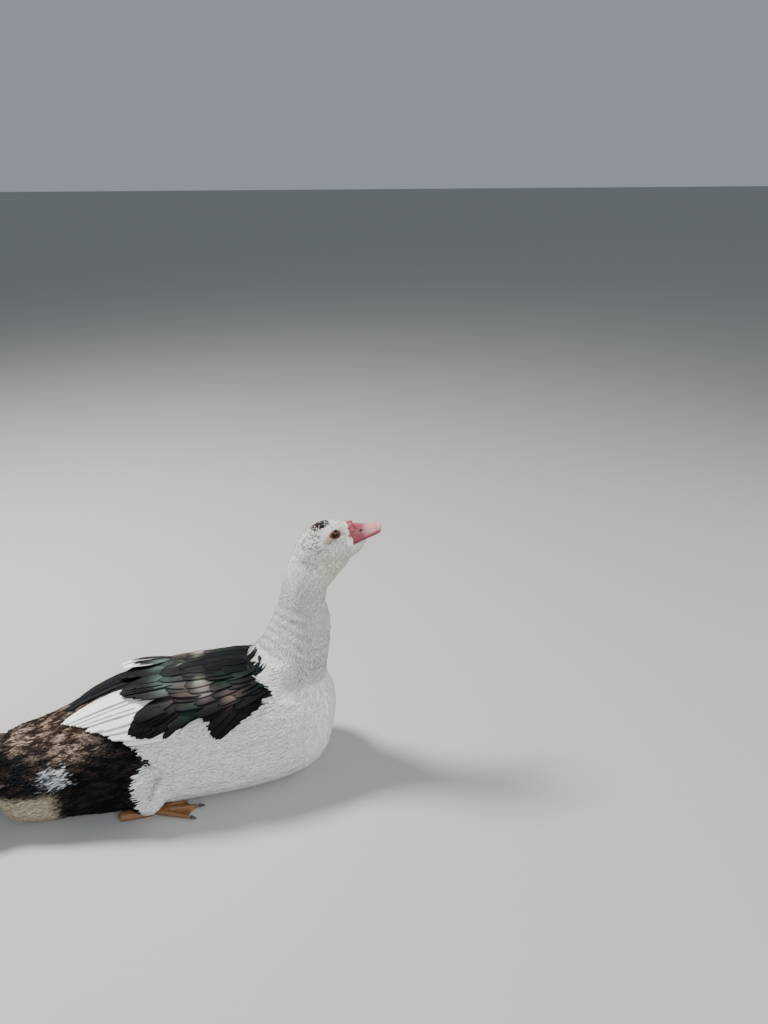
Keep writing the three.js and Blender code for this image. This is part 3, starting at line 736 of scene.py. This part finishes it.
def feather_faces(count, rows, columns):
    """The corners of all faces in turn, how many each has, and how many faces are upper ones."""
    index = np.arange(count * rows * columns).reshape(count, rows, columns)
    corners = [index[:, :-1, :-1], index[:, 1:, :-1], index[:, 1:, 1:], index[:, :-1, 1:]]
    edges = [index[:, :-1, 0], index[:, :-1, -1], index[:, 1:, -1], index[:, 1:, 0]]
    upper, under = [np.stack(side, -1).reshape(-1, 4) for side in (corners, edges)]
    caps = np.concatenate([index[:, 0, :], index[:, -1, ::-1]])
    loops = np.concatenate([upper.ravel(), under.ravel(), caps.ravel()])
    lengths = [4] * (len(upper) + len(under)) + [columns] * len(caps)
    return loops, np.array(lengths), len(upper)


def coat_mesh(name, grid, vane, colours, bake):
    """One mesh of closed feathers: their upper faces, a flat underside and two end caps each."""
    count, rows, columns = grid.shape[:3]
    grid[..., 2] = np.maximum(grid[..., 2], 0)
    loops, lengths, upper = feather_faces(count, rows, columns)
    data = bpy.data.meshes.new(name)
    data.vertices.add(count * rows * columns)
    data.vertices.foreach_set("co", grid.astype(np.float32).ravel())
    data.loops.add(len(loops))
    data.loops.foreach_set("vertex_index", loops.astype(np.int32))
    data.polygons.add(len(lengths))
    data.polygons.foreach_set("loop_start", (np.cumsum(lengths) - lengths).astype(np.int32))
    data.update(calc_edges=True)
    data.polygons.foreach_set("use_smooth", np.arange(len(lengths)) < upper)
    squares = np.meshgrid(np.linspace(0, 1, rows), np.linspace(0, 1, columns), indexing="ij")
    patches = bake[:, None, None, :] + PATCH * np.stack(squares, -1)[None]
    for label, values in (("OFBake", patches), ("Vane", vane)):
        layer = data.uv_layers.new(name=label)
        layer.data.foreach_set("uv", values.reshape(-1, 2)[loops].astype(np.float32).ravel())
    attach_colours(data, colours.reshape(-1, 4))
    return shown(name, data)


def unwrapped(points, kind):
    """Places on a flat map of the skin: along the trunk, neck or head, and round it."""
    x, y, z = to_duck(points).T
    if kind == "neck":
        along = (z - 170) / 200
        turn = np.arctan2(y, x - np.interp(z, (140, 285, 360), (118, 144, 180)))
    elif kind == "head":
        along = (x - 120) / 115
        turn = np.arctan2(y, z - 360)
    else:
        along = (x + 360) / 560
        turn = np.arctan2(y, z - np.interp(x, RINGS[:, 0], (RINGS[:, 1] + RINGS[:, 2]) / 2))
    flat = np.stack([along, turn / (2 * math.pi) + 0.5], 1)
    return 0.01 + 0.98 * np.clip(flat, 0, 1) * (1 - PATCH)


def over_feather(cut):
    """How far along and how far aside the points of a cut lie, to paint over grids of feathers."""
    rows, across = np.asarray(cut["rows"], float), np.asarray(cut["across"], float)
    return rows[None, :, None, None], np.abs(across)[None, None, :, None]


def shaded_feathers(colours, cut, tips, share=1.0):
    """Colours over each feather's grid: its own at the root, toward its tip's at the end."""
    u, v = over_feather(cut)
    mix = np.clip(u**2 * 0.7 + v**2 * 0.3, 0, 1) * share
    return colours[:, None, None] * (1 - mix) + tips[:, None, None] * mix


def scattered(points, normals, spacing, tries):
    """Places spread evenly over part of the skin, none closer than spacing, in metres."""
    order = CHANCE.choice(len(points), size=min(tries, len(points) * 3))
    jitter = CHANCE.normal(0, spacing / 3, (len(order), 3))
    spots = points[order] + jitter - normals[order] * (jitter * normals[order]).sum(1, keepdims=True)
    cells = {}
    kept = []
    for i, spot in enumerate(spots):
        key = tuple((spot // spacing).astype(int))
        near = (
            other
            for dx in (-1, 0, 1)
            for dy in (-1, 0, 1)
            for dz in (-1, 0, 1)
            for other in cells.get((key[0] + dx, key[1] + dy, key[2] + dz), ())
        )
        if all(((spot - other) ** 2).sum() > spacing * spacing for other in near):
            cells.setdefault(key, []).append(spot)
            kept.append(i)
    return spots[kept]


# Coats of small feathers: spacing, length, width, and lift at root and tip, in millimetres, and how far
# the feathers stray from the lie of the coat.
Coat = namedtuple("Coat", "cut spacing long wide lift stray")
COATS = {
    "trunk": Coat("body", spacing=4.0, long=21, wide=7.5, lift=(-0.45, 0.2), stray=0.07),
    "rump": Coat("lock", spacing=2.1, long=13, wide=3.0, lift=(-0.5, 2.2), stray=0.24),
    "neck": Coat("lock", spacing=1.5, long=10, wide=1.7, lift=(-0.25, 0.3), stray=0.05),
    "head": Coat("speck", spacing=0.95, long=4.2, wide=1.4, lift=(-0.12, 0.14), stray=0.05),
    "fluff": Coat("lock", spacing=3.0, long=17, wide=2.2, lift=(0.2, 3.6), stray=0.3),
}

# How high a small feather's shaft stands in millimetres, how many places are tried for each feather, and
# where the rump's coat begins.
RIDGE = 0.06
TRIES = 6
RUMP_FROM = -84

# The skin under the folded wing, which needs no small feathers, as places along X and up the side.
HIDDEN = (
    (72, 200), (76, 104), (50, 92), (20, 66), (6, 60), (2, 92), (-20, 98), (-50, 82), (-92, 68),
    (-106, 70), (-150, 86), (-182, 106), (-112, 200),
)


def part_of(spots):
    """0 on the trunk, 1 on the neck and 2 on the head."""
    x, y, z = spots.T
    wander = 5 * np.sin(0.09 * y) + 4 * np.sin(0.11 * x)
    neck = (over_back(spots) > 2) & (z > 172) & (x > 40) | (z + wander > 196)
    return np.where(up_neck(spots) > 330, 2, np.where(neck, 1, 0))


def bare(spots):
    """Places without small feathers: at the bill's base, the eyes, and under the folded wings."""
    x, _, z = spots.T
    bill = (x > 211) & (z > 364)
    eye = np.hypot(x - EYE["x"], z - EYE["z"]) < EYE["bare"]
    return bill | eye | inside(HIDDEN, x, arc_of(spots)) & (z < 205)


def on_rump(spots):
    """Where the feathers are looser, as they are on the rump."""
    return spots[:, 0] < RUMP_FROM


def on_neck(spots):
    return part_of(spots) == 1


def on_head(spots):
    return (part_of(spots) == 2) & ~bare(spots)


def fluffy(spots):
    """Where longer down hangs loose: the vent, the tuft on the rump and the thighs."""
    x, arc = spots[:, 0], arc_of(spots)
    vent = (x < -205) & (arc < 4)
    tuft = np.hypot((x - TUFT["x"]) / TUFT["long"], (arc - TUFT["arc"]) / TUFT["high"]) < 1
    thigh = np.hypot((x + 99) / 20, (arc + 6) / 28) < 1
    return vent | tuft | thigh


def spill(spots):
    """How far feathers rise to lie over the wings where the neck meets the back, in millimetres."""
    x, _, z = spots.T
    return 5 * ramp(z, 150, 176) * ramp(x, 52, 74) * ramp(122 - x, 0, 34) * ramp(214 - z, 0, 16)


def sizes(kind, spots):
    """How large feathers are: smaller on the breast, and on the neck smaller toward the head."""
    x, _, z = spots.T
    if kind == "trunk":
        return 1 - 0.35 * np.maximum(ramp(z, 140, 205) * ramp(x, 40, 90), ramp(x, 110, 160))
    if kind == "neck":
        return 1.5 - 0.5 * ramp(z, 195, 260) - 0.4 * ramp(z, 290, 335)
    return np.ones(len(x))


def small_coat(skin, tree, kind, keep, name, look, slot):
    """One coat of small feathers over a part of the skin."""
    coat = COATS[kind]
    cut = CUTS[coat.cut]
    spacing = coat.spacing * MM
    points, normals = points_of(skin.data), normals_of(skin.data)
    chosen = keep(to_duck(points))
    area = chosen.mean() * sum(face.area for face in skin.data.polygons)
    roots = scattered(points[chosen], normals[chosen], spacing, int(area / spacing**2 * TRIES))
    spots = to_duck(roots)
    count = len(roots)
    ways = normalised(lie_at(spots)) + CHANCE.normal(0, coat.stray, (count, 3))
    size = MM * sizes(kind, spots)
    lengths = coat.long * size * CHANCE.uniform(0.8, 1.2, count)
    widths = coat.wide * size * CHANCE.uniform(0.85, 1.15, count)
    lifts = np.array(coat.lift) * MM * CHANCE.uniform(0.75, 1.25, (count, 1))
    lifts[:, 1] += spill(spots) * MM
    lines = marched(tree, roots, ways, lengths, cut["rows"])
    grid, vane = grown(lines, cut, lengths, widths, lifts, RIDGE)
    colours = colours_at(to_duck(lines[0][:, -2]))
    colours = colours * np.hstack([speckle(count, 0.95, 1.05).repeat(3, 1), np.ones((count, 1))])
    painted = shaded_feathers(colours, cut, colours * speckle(count, 0.9, 1.12))
    made = coat_mesh(name, grid, vane, painted, unwrapped(roots, kind))
    return dress(made, look, slot)


# Wing and tail feathers
# Vanes lie side by side, from a first to a last. These each give a root and a tip, as places along X
# and up the trunk's side in millimetres. The middle tips reach on by the bulge, all tips stray, and the
# lift is the height over the skin at root and tip. The higher blunt is, the squarer are the tips.
FIELDS = "number first last width lift blunt bulge stray look"
SHEEN, FLIGHT, RIM = "sheen", "flight", "rim"
Vanes = namedtuple("Vanes", FIELDS, defaults=(3.8, 4, 3.2, SHEEN))
WING_VANES = (
    Vanes(10, ((-36, 58), (-119, 58)), ((-56, 136), (-202, 105)), (25, 29), (-2, 4.2), 3.4, 0, 1.2, FLIGHT),
    Vanes(8, ((-12, 98), (-80, 61)), ((-30, 110), (-102, 81)), (24, 24), (3.5, 6.4), 3.8, 20, 1.2),
    Vanes(5, ((-8, 92), (-66, 55)), ((14, 104), (-26, 77)), (20, 24), (4.6, 7.2), 2.2, 0, 1.2),
    Vanes(6, ((88, 104), (52, 74)), ((52, 88), (4, 42)), (22, 24), (-1.0, 5.6), 3.0, 0, 1.2),
    Vanes(4, ((50, 92), (-2, 46)), ((36, 112), (-13, 76)), (19, 24), (3.2, 6.2), 2.4, 2, 1.2),
    Vanes(8, ((-24, 112), (-90, 111)), ((-34, 146), (-98, 139)), (20, 26), (5.2, 8.6), 3.6, 27, 1.2),
    Vanes(7, ((16, 94), (-46, 88)), ((4, 150), (-66, 146)), (25, 28), (4.4, 8.2)),
    Vanes(8, ((42, 94), (-18, 82)), ((28, 150), (-36, 148)), (22, 27), (3.8, 8.4)),
    Vanes(8, ((66, 94), (8, 79)), ((50, 150), (-6, 148)), (22, 26), (3.2, 8.2)),
    Vanes(9, ((84, 96), (34, 79)), ((72, 150), (20, 148)), (20, 24), (2.0, 7.6)),
    Vanes(9, ((86, 98), (54, 80)), ((66, 140), (26, 142)), (18, 22), (-1.5, 6.2)),
)

# The left wing lifts a feather with a white rim over the back.
CRESCENT = Vanes(2, ((-46, 104), (-119, 99)), ((-42, 114), (-112, 112)), (33, 33), (7, 17), 3.6, 0, 1.2, RIM)

# Sheens on both wings, and a spot on the left: where they are, how far they reach, and their colour. The
# pale bronze, sea-green and pale green patches are painted sheen off glossy feathers; the darker ones are
# the feathers' own tones.
SHEENS = (
    (-36, 116, 30, DUSK), (-9, 107, 13, BRONZE), (-38, 104, 12, RUSSET), (-62, 130, 15, SEA),
    (-30, 84, 12, GREEN), (-12, 124, 6, PALE_GREEN), (28, 114, 17, GREEN), (28, 92, 14, RUSSET),
)
SPOT = (-35, 141, 5, PALE_GREEN)
ROOT_STRAY = 3
BOW = 0.03

# A ray toward the trunk's middle starts this far out in metres, past any skin.
OUTSIDE = 0.2


def on_trunk(tree, side, x, arc):
    """Places on the skin by where they lie along X and up the trunk's side, with the normals there."""
    top, belly, half, wide = section(x)
    angle = arc / ((half + top - wide) / 2)
    rise = np.where(angle > 0, top - wide, wide - belly)
    spots, normals = [], []
    for i in range(len(x)):
        start = Vector(from_duck((x[i], 0, wide[i])))
        aside, up = half[i] * math.cos(angle[i]), rise[i] * math.sin(angle[i])
        aim = Vector((0, side * aside, up)).normalized()
        place, normal, _, _ = tree.ray_cast(start + aim * OUTSIDE, -aim)
        spots.append(place)
        normals.append(normal)
    return np.array(spots), np.array(normals)


def lines_between(tree, side, roots, tips, rows):
    """Middle lines of vanes over the trunk, from roots to tips given along X and up the side."""
    way = tips - roots
    aside = np.stack([way[:, 1], -way[:, 0]], 1) * BOW
    places, normals = [], []
    for u in rows:
        spot = roots + way * u + aside * math.sin(math.pi * u)
        place, normal = on_trunk(tree, side, spot[:, 0], spot[:, 1])
        places.append(place)
        normals.append(normal)
    places, normals = np.stack(places, 1), np.stack(normals, 1)
    normals[:, 1:-1] = normalised(normals[:, :-2] + normals[:, 1:-1] + normals[:, 2:])
    headings = normalised(np.gradient(places, axis=1))
    headings = normalised(headings - normals * (headings * normals).sum(-1, keepdims=True))
    return places, normals, headings


def sheen(places, side):
    """Near black, with soft patches of green and brown tones and of painted bronze and pale green sheen,
    over grids of places.
    """
    spots = to_duck(places.reshape(-1, 3))
    x, arc = spots[:, 0], arc_of(spots)
    colours = plain(BLACK, len(x))
    for patch_x, patch_arc, reach, colour in SHEENS + ((SPOT,) if side == LEFT else ()):
        far = np.hypot(x - patch_x, arc - patch_arc) / reach
        colours = paint(colours, colour, np.exp(-(far**2)))
    return colours.reshape(*places.shape[:3], 4)


def wing_paint(vanes, side, grid, cut):
    """Colours over the grids of a group of vanes. The flight feathers are white on the right."""
    if vanes.look == FLIGHT and side == RIGHT:
        base = plain(WHITE, vanes.number) * speckle(vanes.number, 0.96, 1.03)
        # Painted bluish shade toward each white flight feather's tip and edges.
        return shaded_feathers(base, cut, plain(SHADE, vanes.number), 0.4)
    u, v = over_feather(cut)
    edge = np.clip(0.9 * u**5 + 0.8 * v**4, 0, 0.92)
    tone = CHANCE.uniform(0.35, 1.5, (vanes.number, 1, 1, 1)) * (1, 1, 1, 0) + (0, 0, 0, 1)
    painted = sheen(grid, side) * tone * (1 - edge) + np.array(BLACK) * edge
    if vanes.look == RIM:
        rim = ramp(u**3 + 0.4 * v**2, 0.42, 0.56)
        painted = painted * (1 - rim) + np.array(WHITE) * rim
    return painted


def joined(name, parts, look, slot, node):
    """One piece from groups of vanes, each with its grid, vane map, colours and bake map."""
    whole = [np.concatenate(part) for part in zip(*parts)]
    return dress(coat_mesh(name, *whole), look, slot, node)


def roots_and_tips(vanes):
    """Where a group's vanes start and end, and how far along the group each is, from 0 to 1."""
    share = np.linspace(0, 1, vanes.number)[:, None]
    first, last = np.array(vanes.first, float), np.array(vanes.last, float)
    roots, tips = [first[end] * (1 - share) + last[end] * share for end in (0, 1)]
    tips = tips + normalised(tips - roots) * (4 * vanes.bulge * share * (1 - share))
    tips = tips + CHANCE.normal(0, vanes.stray, tips.shape)
    return roots + CHANCE.normal(0, ROOT_STRAY, roots.shape), tips, share[:, 0]


def wing_feathers(tree, name, side, look):
    """One folded wing: its groups of vanes, laid over the trunk from the flight feathers up."""
    cut = CUTS["vane"]
    parts = []
    for vanes in WING_VANES + ((CRESCENT,) if side == LEFT else ()):
        roots, tips, share = roots_and_tips(vanes)
        lines = lines_between(tree, side, roots, tips, cut["rows"])
        lengths = np.linalg.norm(np.diff(lines[0], axis=1), axis=2).sum(1)
        widths = np.interp(share, (0, 1), vanes.width) * MM * CHANCE.uniform(0.9, 1.2, vanes.number)
        lifts = np.tile(np.array(vanes.lift) * MM, (vanes.number, 1))
        lifts[:, 1] *= np.interp(share, (0, 1), (1, 0.9))
        shape = dict(ridge=0.4, blunt=vanes.blunt, camber=3.0, tilt=0.075 * side)
        grid, map_places = grown(lines, cut, lengths, widths, lifts, **shape)
        painted = wing_paint(vanes, side, grid, cut)
        parts.append((grid, map_places, painted, unwrapped(lines[0][:, 0], "trunk")))
    return joined("vanes_" + name, parts, look, "wing_feathers", "wing_" + name)


# A fan spreads from a root by an angle to each side. Half is how far aside the outermost grow, drop how
# much lower each next one lies, and shorter how much of their length the outermost lack.
Fan = namedtuple("Fan", "number root length spread half width drop shorter")
TAIL_FANS = (
    Fan(14, (-256, 87), length=108, spread=27, half=20, width=23, drop=1.4, shorter=0.16),
    Fan(15, (-266, 95), length=62, spread=30, half=34, width=16, drop=1.5, shorter=0.1),
    Fan(15, (-258, 101), length=50, spread=34, half=38, width=14, drop=1.9, shorter=0.1),
    Fan(12, (-262, 70), length=78, spread=28, half=32, width=20, drop=-1.3, shorter=0.1),
)
TAIL_SAG = 5


def tail_lines(fan, rows):
    """Middle lines of one fan of the tail, and their lengths in metres."""
    out = np.linspace(-1, 1, fan.number)
    turn = np.radians(fan.spread) * out
    back = np.stack([-np.cos(turn), np.sin(turn), np.zeros(fan.number)], 1)
    length = fan.length * (1 - fan.shorter * out**2) * CHANCE.uniform(0.93, 1.04, fan.number)
    rank = np.abs(np.arange(fan.number) - (fan.number - 1) / 2)
    height = fan.root[1] - fan.drop * rank
    root = np.stack([np.full(fan.number, fan.root[0]), fan.half * out, height], 1)
    u = np.asarray(rows)[None, :, None]
    places = root[:, None] + back[:, None] * (length[:, None, None] * u)
    places[..., 2] -= TAIL_SAG * u[..., 0]
    normals = np.tile((0.0, 0.0, 1.0), (fan.number, len(rows), 1))
    return (from_duck(places), normals, np.repeat(back[:, None], len(rows), 1)), length * MM


def tail_feathers(look):
    """The tail's fans, in browns that are paler toward the tips."""
    cut = CUTS["vane"]
    parts = []
    for fan in TAIL_FANS:
        lines, lengths = tail_lines(fan, cut["rows"])
        widths = np.full(fan.number, fan.width * MM)
        flat = np.zeros((fan.number, 2))
        grid, map_places = grown(lines, cut, lengths, widths, flat, ridge=0.6, camber=3.0)
        brown = CHANCE.uniform(0, 0.7, (fan.number, 1))
        base = np.array(BLACK) * (1 - brown) + np.array(BROWN) * brown
        tips = np.array(BROWN) * speckle(fan.number, 0.8, 2.4)
        painted = shaded_feathers(base, cut, tips, 0.9)
        parts.append((grid, map_places, painted, unwrapped(lines[0][:, 0], "trunk")))
    return joined("tail_vanes", parts, look, "tail_feathers", "tail")


# Bill, caruncles and eyes
ROSE = (0.30, 0.062, 0.078, 0)
PALE_ROSE = (0.52, 0.24, 0.24, 0)
DEEP_RED = (0.22, 0.018, 0.03, 0)
NAIL = (0.56, 0.36, 0.32, 0)
# Painted shade under the mouth line and in the nostrils, and the dark colour of the knob over the bill's
# base.
SHADE_AND_KNOB = (0.04, 0.015, 0.015, 0)
NOSTRIL = {"x": 231, "z": 381, "long": 3.2, "high": 1.7}
KNOB = {"x": 226, "z": 393, "wide": 4.4, "high": 3.4}
MOUTH = {"x": (214, 236, 247, 256, 263), "z": (364, 368.6, 372, 375, 376.6)}


def bill_colours(spots):
    """Rose, paler along the middle, with a horn nail and a red edge to the mouth, and painted shade just
    under the mouth line and in the nostrils.
    """
    x, y, z = spots.T
    mouth = np.interp(x, MOUTH["x"], MOUTH["z"])
    colours = plain(ROSE, len(x))
    pale = ramp(x, 231, 241) * ramp(258 - x, 0, 8) * ramp(z - mouth, 1, 6) * ramp(388 - z, 0, 4)
    colours = paint(colours, PALE_ROSE, pale)
    colours = paint(colours, NAIL, ramp(x, 252, 258) * ramp(z, 377, 381))
    colours = paint(colours, DEEP_RED, ramp(2.2 - np.abs(z - mouth), 0, 1.4) * 0.8)
    # Painted shade on the lower bill, just under the upper bill's edge.
    colours = paint(colours, SHADE_AND_KNOB, ramp(mouth + 0.4 - z, 0, 1.2) * 0.5)
    gape = ramp(226 - x, 0, 8) * ramp(mouth + 6 - z, 0, 6)
    colours = paint(colours, DEEP_RED, gape * 0.7)
    # The nostrils are painted dark, as shade in their openings.
    slit = np.hypot((x - NOSTRIL["x"]) / NOSTRIL["long"], (z - NOSTRIL["z"]) / NOSTRIL["high"])
    return paint(colours, SHADE_AND_KNOB, ramp(1.15 - slit, 0, 0.4) * (np.abs(y) > 6))


def fold_colours(spots):
    """A fuller red than the bill, deeper below, with a dark knob over the bill's base."""
    x, y, z = spots.T
    red = plain(ROSE, len(x)) * (1, 0.75, 0.85, 1)
    colours = paint(red, DEEP_RED, ramp(372 - z, 0, 12) * 0.6)
    knob = np.hypot(np.hypot(x - KNOB["x"], y) / KNOB["wide"], (z - KNOB["z"]) / KNOB["high"])
    return paint(colours, SHADE_AND_KNOB, ramp(1.1 - knob, 0, 0.4))


def painted_copy(name, node, colours, look, slot, voxel, rounds):
    """A smooth copy of one CAD node in colours that follow its places."""
    piece = melted(name, [node], voxel, rounds)
    points = points_of(piece.data)
    points[:, 2] = np.maximum(points[:, 2], 0)
    move_points(piece.data, points)
    attach_colours(piece.data, colours(to_duck(points)))
    return dress(piece, look, slot, node)


def make_bill():
    flesh = dict(subsurface_weight=0.12, subsurface_scale=0.004)
    wet = dict(roughness=0.36, specular_ior_level=0.55)
    horn = horn_material("bill_horn", scale=90, amount=0.3, relief=0.0002, **wet, **flesh)
    fine = dict(voxel=0.6 * MM, rounds=3)
    for node in ("bill_upper", "bill_lower"):
        painted_copy(node + "_skin", node, bill_colours, horn, "bill_horn", **fine)
    grain = dict(scale=160, amount=0.5, relief=0.0005, roughness=0.42)
    warty = horn_material("caruncle_skin", **grain, **flesh)
    finest = dict(voxel=0.5 * MM, rounds=2)
    painted_copy("caruncle_folds", "caruncles", fold_colours, warty, "caruncle_skin", **finest)


# The eye's colours by how far toward the side a place lies, from the lids' depth to the pupil's middle.
EYE_DEPTH = (3, 6.6)
EYE_RINGS = (
    (0.0, (0.01, 0.005, 0.004)),
    (0.3, (0.06, 0.022, 0.008)),
    (0.72, (0.045, 0.016, 0.006)),
    (0.8, (0.002, 0.0015, 0.0015)),
)


def eye_material():
    """A brown eye with a black pupil."""
    made = material("wet_eye", (0.1, 0.04, 0.02), roughness=0.1, specular_ior_level=0.3)
    split = wired(made, "ShaderNodeSeparateXYZ", Vector=on_object(made))
    aside = maths(made, "ABSOLUTE", split.outputs["Y"])
    low, high = [(EYE["y"] + depth) * MM for depth in EYE_DEPTH]
    spread = wired(made, "ShaderNodeMapRange", Value=aside, From_Min=low, From_Max=high)
    rings = wired(made, "ShaderNodeValToRGB", Fac=spread.outputs[0])
    elements = rings.color_ramp.elements
    elements.remove(elements[1])
    elements[0].color = (*EYE_RINGS[0][1], 1)
    for place, colour in EYE_RINGS[1:]:
        elements.new(place).color = (*colour, 1)
    set_shader(made, base_color=rings.outputs[0])
    return made


def make_eyes():
    """Round eyes in the place and size of the solid ones."""
    look = eye_material()
    for name in SIDES:
        low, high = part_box("eye_" + name)
        mesh = bmesh.new()
        bmesh.ops.create_uvsphere(mesh, u_segments=40, v_segments=24, radius=(high.x - low.x) / 2)
        bmesh.ops.translate(mesh, verts=mesh.verts, vec=(low + high) / 2)
        ball = placed("eyeball_" + name, mesh)
        smooth(ball)
        dress(ball, look, "eye", "eye_" + name)


# Each eye has a round fold of lid, and a thinner one round it that lies a little deeper.
LID_FOLDS = ({"reach": 6.2, "thick": 1.15, "deep": 0}, {"reach": 7.5, "thick": 0.8625, "deep": 0.5})
LID = {"centre": (0.4, 3.5, 0.4), "lean": 24, "turn": 14, "long": 1.14, "high": 0.78}
LID_COLOUR = (0.13, 0.055, 0.03, 0)


def ring_edges(ring):
    """The edges that join the vertices of a ring, in a fixed order."""
    edges = [edge for vert in ring for edge in vert.link_edges if edge.other_vert(vert) in ring]
    return list(dict.fromkeys(edges))


def lid_fold(mesh, fold):
    """A round fold of skin, as a small circle spun about Z."""
    rim = bmesh.ops.create_circle(mesh, segments=8, radius=fold["thick"] * MM)["verts"]
    upright = Matrix.Rotation(math.pi / 2, 3, "X")
    bmesh.ops.rotate(mesh, verts=rim, cent=(0, 0, 0), matrix=upright)
    bmesh.ops.translate(mesh, verts=rim, vec=(fold["reach"] * MM, 0, -fold["deep"] * MM))
    bmesh.ops.spin(
        mesh, geom=rim + ring_edges(rim), cent=(0, 0, 0), axis=(0, 0, 1), dvec=(0, 0, 0),
        angle=2 * math.pi, steps=36, use_merge=True,
    )


def make_lids():
    """A rim of bare lids round each eye, longer than high."""
    look = horn_material("lid_skin", scale=220, amount=0.4, relief=0.0003, roughness=0.5)
    for name, side in SIDES.items():
        mesh = bmesh.new()
        for fold in LID_FOLDS:
            lid_fold(mesh, fold)
        bmesh.ops.remove_doubles(mesh, verts=mesh.verts, dist=1e-6)
        bmesh.ops.recalc_face_normals(mesh, faces=mesh.faces)
        bmesh.ops.scale(mesh, verts=mesh.verts, vec=(LID["long"], LID["high"], 1))
        lean = Matrix.Rotation(math.radians(90 + side * LID["lean"]), 4, "X")
        turn = Matrix.Rotation(math.radians(-side * LID["turn"]), 4, "Z")
        bmesh.ops.transform(mesh, verts=mesh.verts, matrix=turn @ lean)
        ahead, out, up = LID["centre"]
        centre = from_duck((EYE["x"] + ahead, side * (EYE["y"] + out), EYE["z"] + up))
        bmesh.ops.translate(mesh, verts=mesh.verts, vec=Vector(centre))
        lid = placed("lids_" + name, mesh)
        smooth(lid)
        attach_colours(lid.data, plain(LID_COLOUR, len(lid.data.vertices)))
        dress(lid, look, "caruncle_skin")


# Feet
AMBER = (0.22, 0.095, 0.03, 0)
SOOT = (0.10, 0.055, 0.03, 0)
CLAW_COLOUR = (0.05, 0.035, 0.03, 0)

# The ankle's place along X and to the side, and the angle and length of each toe.
ANKLE = (-92, 76)
TOES = ((-20, 50), (2, 62), (24, 54))
CLAW = {"long": 9, "radius": 2.6, "tip": 0.15, "rings": 7, "sides": 10, "height": 3.4, "drop": 2}


def foot_colours(spots):
    """Amber scales, sooty in bands across the toes."""
    x, y, _ = spots.T
    band = np.sin(x * 1.3 + 1.5 * np.sin(y * 0.4)) * clumps(x, y, 9)
    return paint(plain(AMBER, len(x)), SOOT, 0.15 + ramp(band, 0.0, 0.7) * 0.4)


def claw(mesh, start, ahead):
    """One claw, which narrows and droops along its way ahead from its start on the duck's axes."""
    rings = []
    for t in np.linspace(0, 1, CLAW["rings"]):
        radius = (CLAW["radius"] * (1 - t) ** 0.7 + CLAW["tip"]) * MM
        shape = dict(segments=CLAW["sides"], radius=radius, cap_ends=t in (0, 1))
        ring = bmesh.ops.create_circle(mesh, **shape)["verts"]
        bmesh.ops.rotate(mesh, verts=ring, matrix=ahead.to_track_quat("Z", "Y").to_matrix())
        centre = start + ahead * (CLAW["long"] * t) - Vector((0, 0, CLAW["drop"] * t * t))
        bmesh.ops.translate(mesh, verts=ring, vec=Vector(from_duck(centre)))
        rings.append(ring)
    for near, far in zip(rings, rings[1:]):
        bmesh.ops.bridge_loops(mesh, edges=ring_edges(near) + ring_edges(far))


def make_claws(name, side, look):
    """A curved claw at the tip of each front toe."""
    mesh = bmesh.new()
    for turn, length in TOES:
        ahead = Vector((math.cos(math.radians(turn)), side * math.sin(math.radians(turn)), 0))
        start = Vector((ANKLE[0], side * ANKLE[1], CLAW["height"])) + ahead * (length - 1)
        claw(mesh, start, ahead)
    bmesh.ops.recalc_face_normals(mesh, faces=mesh.faces)
    for vert in mesh.verts:
        vert.co.z = max(vert.co.z, 0)
    claws = placed("claws_" + name, mesh)
    smooth(claws)
    attach_colours(claws.data, plain(CLAW_COLOUR, len(claws.data.vertices)))
    dress(claws, look, "foot_skin")


def make_feet():
    look = horn_material("foot_scales", scale=90, amount=0.4, relief=0.0006, roughness=0.55)
    horn = horn_material("claw_horn", scale=200, amount=0.3, relief=0.0002, roughness=0.4)
    size = dict(voxel=MM, rounds=3)
    for name, side in SIDES.items():
        node = "foot_" + name
        painted_copy(node + "_scales", node, foot_colours, look, "foot_skin", **size)
        make_claws(name, side, horn)


def trunk_side(side, rear):
    """Says which places belong to one side's coat on the trunk, or to its rump."""
    def chosen(spots):
        beside = (part_of(spots) == 0) & ~bare(spots) & (spots[:, 1] * side >= 0)
        return beside & (on_rump(spots) == rear)

    return chosen


def make_coats(skin):
    """All the feathers, in a fixed order, because each coat draws on chance."""
    data = skin.data
    tree = BVHTree.FromPolygons(
        [vert.co.copy() for vert in data.vertices], [face.vertices[:] for face in data.polygons]
    )
    parts = ("body", "neck", "head", "rump", "wing", "tail")
    looks = {part: coat_material(part + "_plumage", **PLUMAGE[part]) for part in parts}
    for name, side in SIDES.items():
        front, rear = trunk_side(side, False), trunk_side(side, True)
        small_coat(skin, tree, "trunk", front, "coat_" + name, looks["body"], "body_feathers")
        small_coat(skin, tree, "rump", rear, "rump_" + name, looks["rump"], "body_feathers")
    small_coat(skin, tree, "fluff", fluffy, "fluff", looks["body"], "body_feathers")
    small_coat(skin, tree, "neck", on_neck, "coat_neck", looks["neck"], "neck_feathers")
    small_coat(skin, tree, "head", on_head, "coat_head", looks["head"], "head_feathers")
    for name, side in SIDES.items():
        wing_feathers(tree, name, side, looks["wing"])
    tail_feathers(looks["tail"])


make_camera()
make_lamps()
make_floor()
skin_piece = make_skin()
make_coats(skin_piece)
finish_skin(skin_piece)
make_bill()
make_eyes()
make_lids()
make_feet()
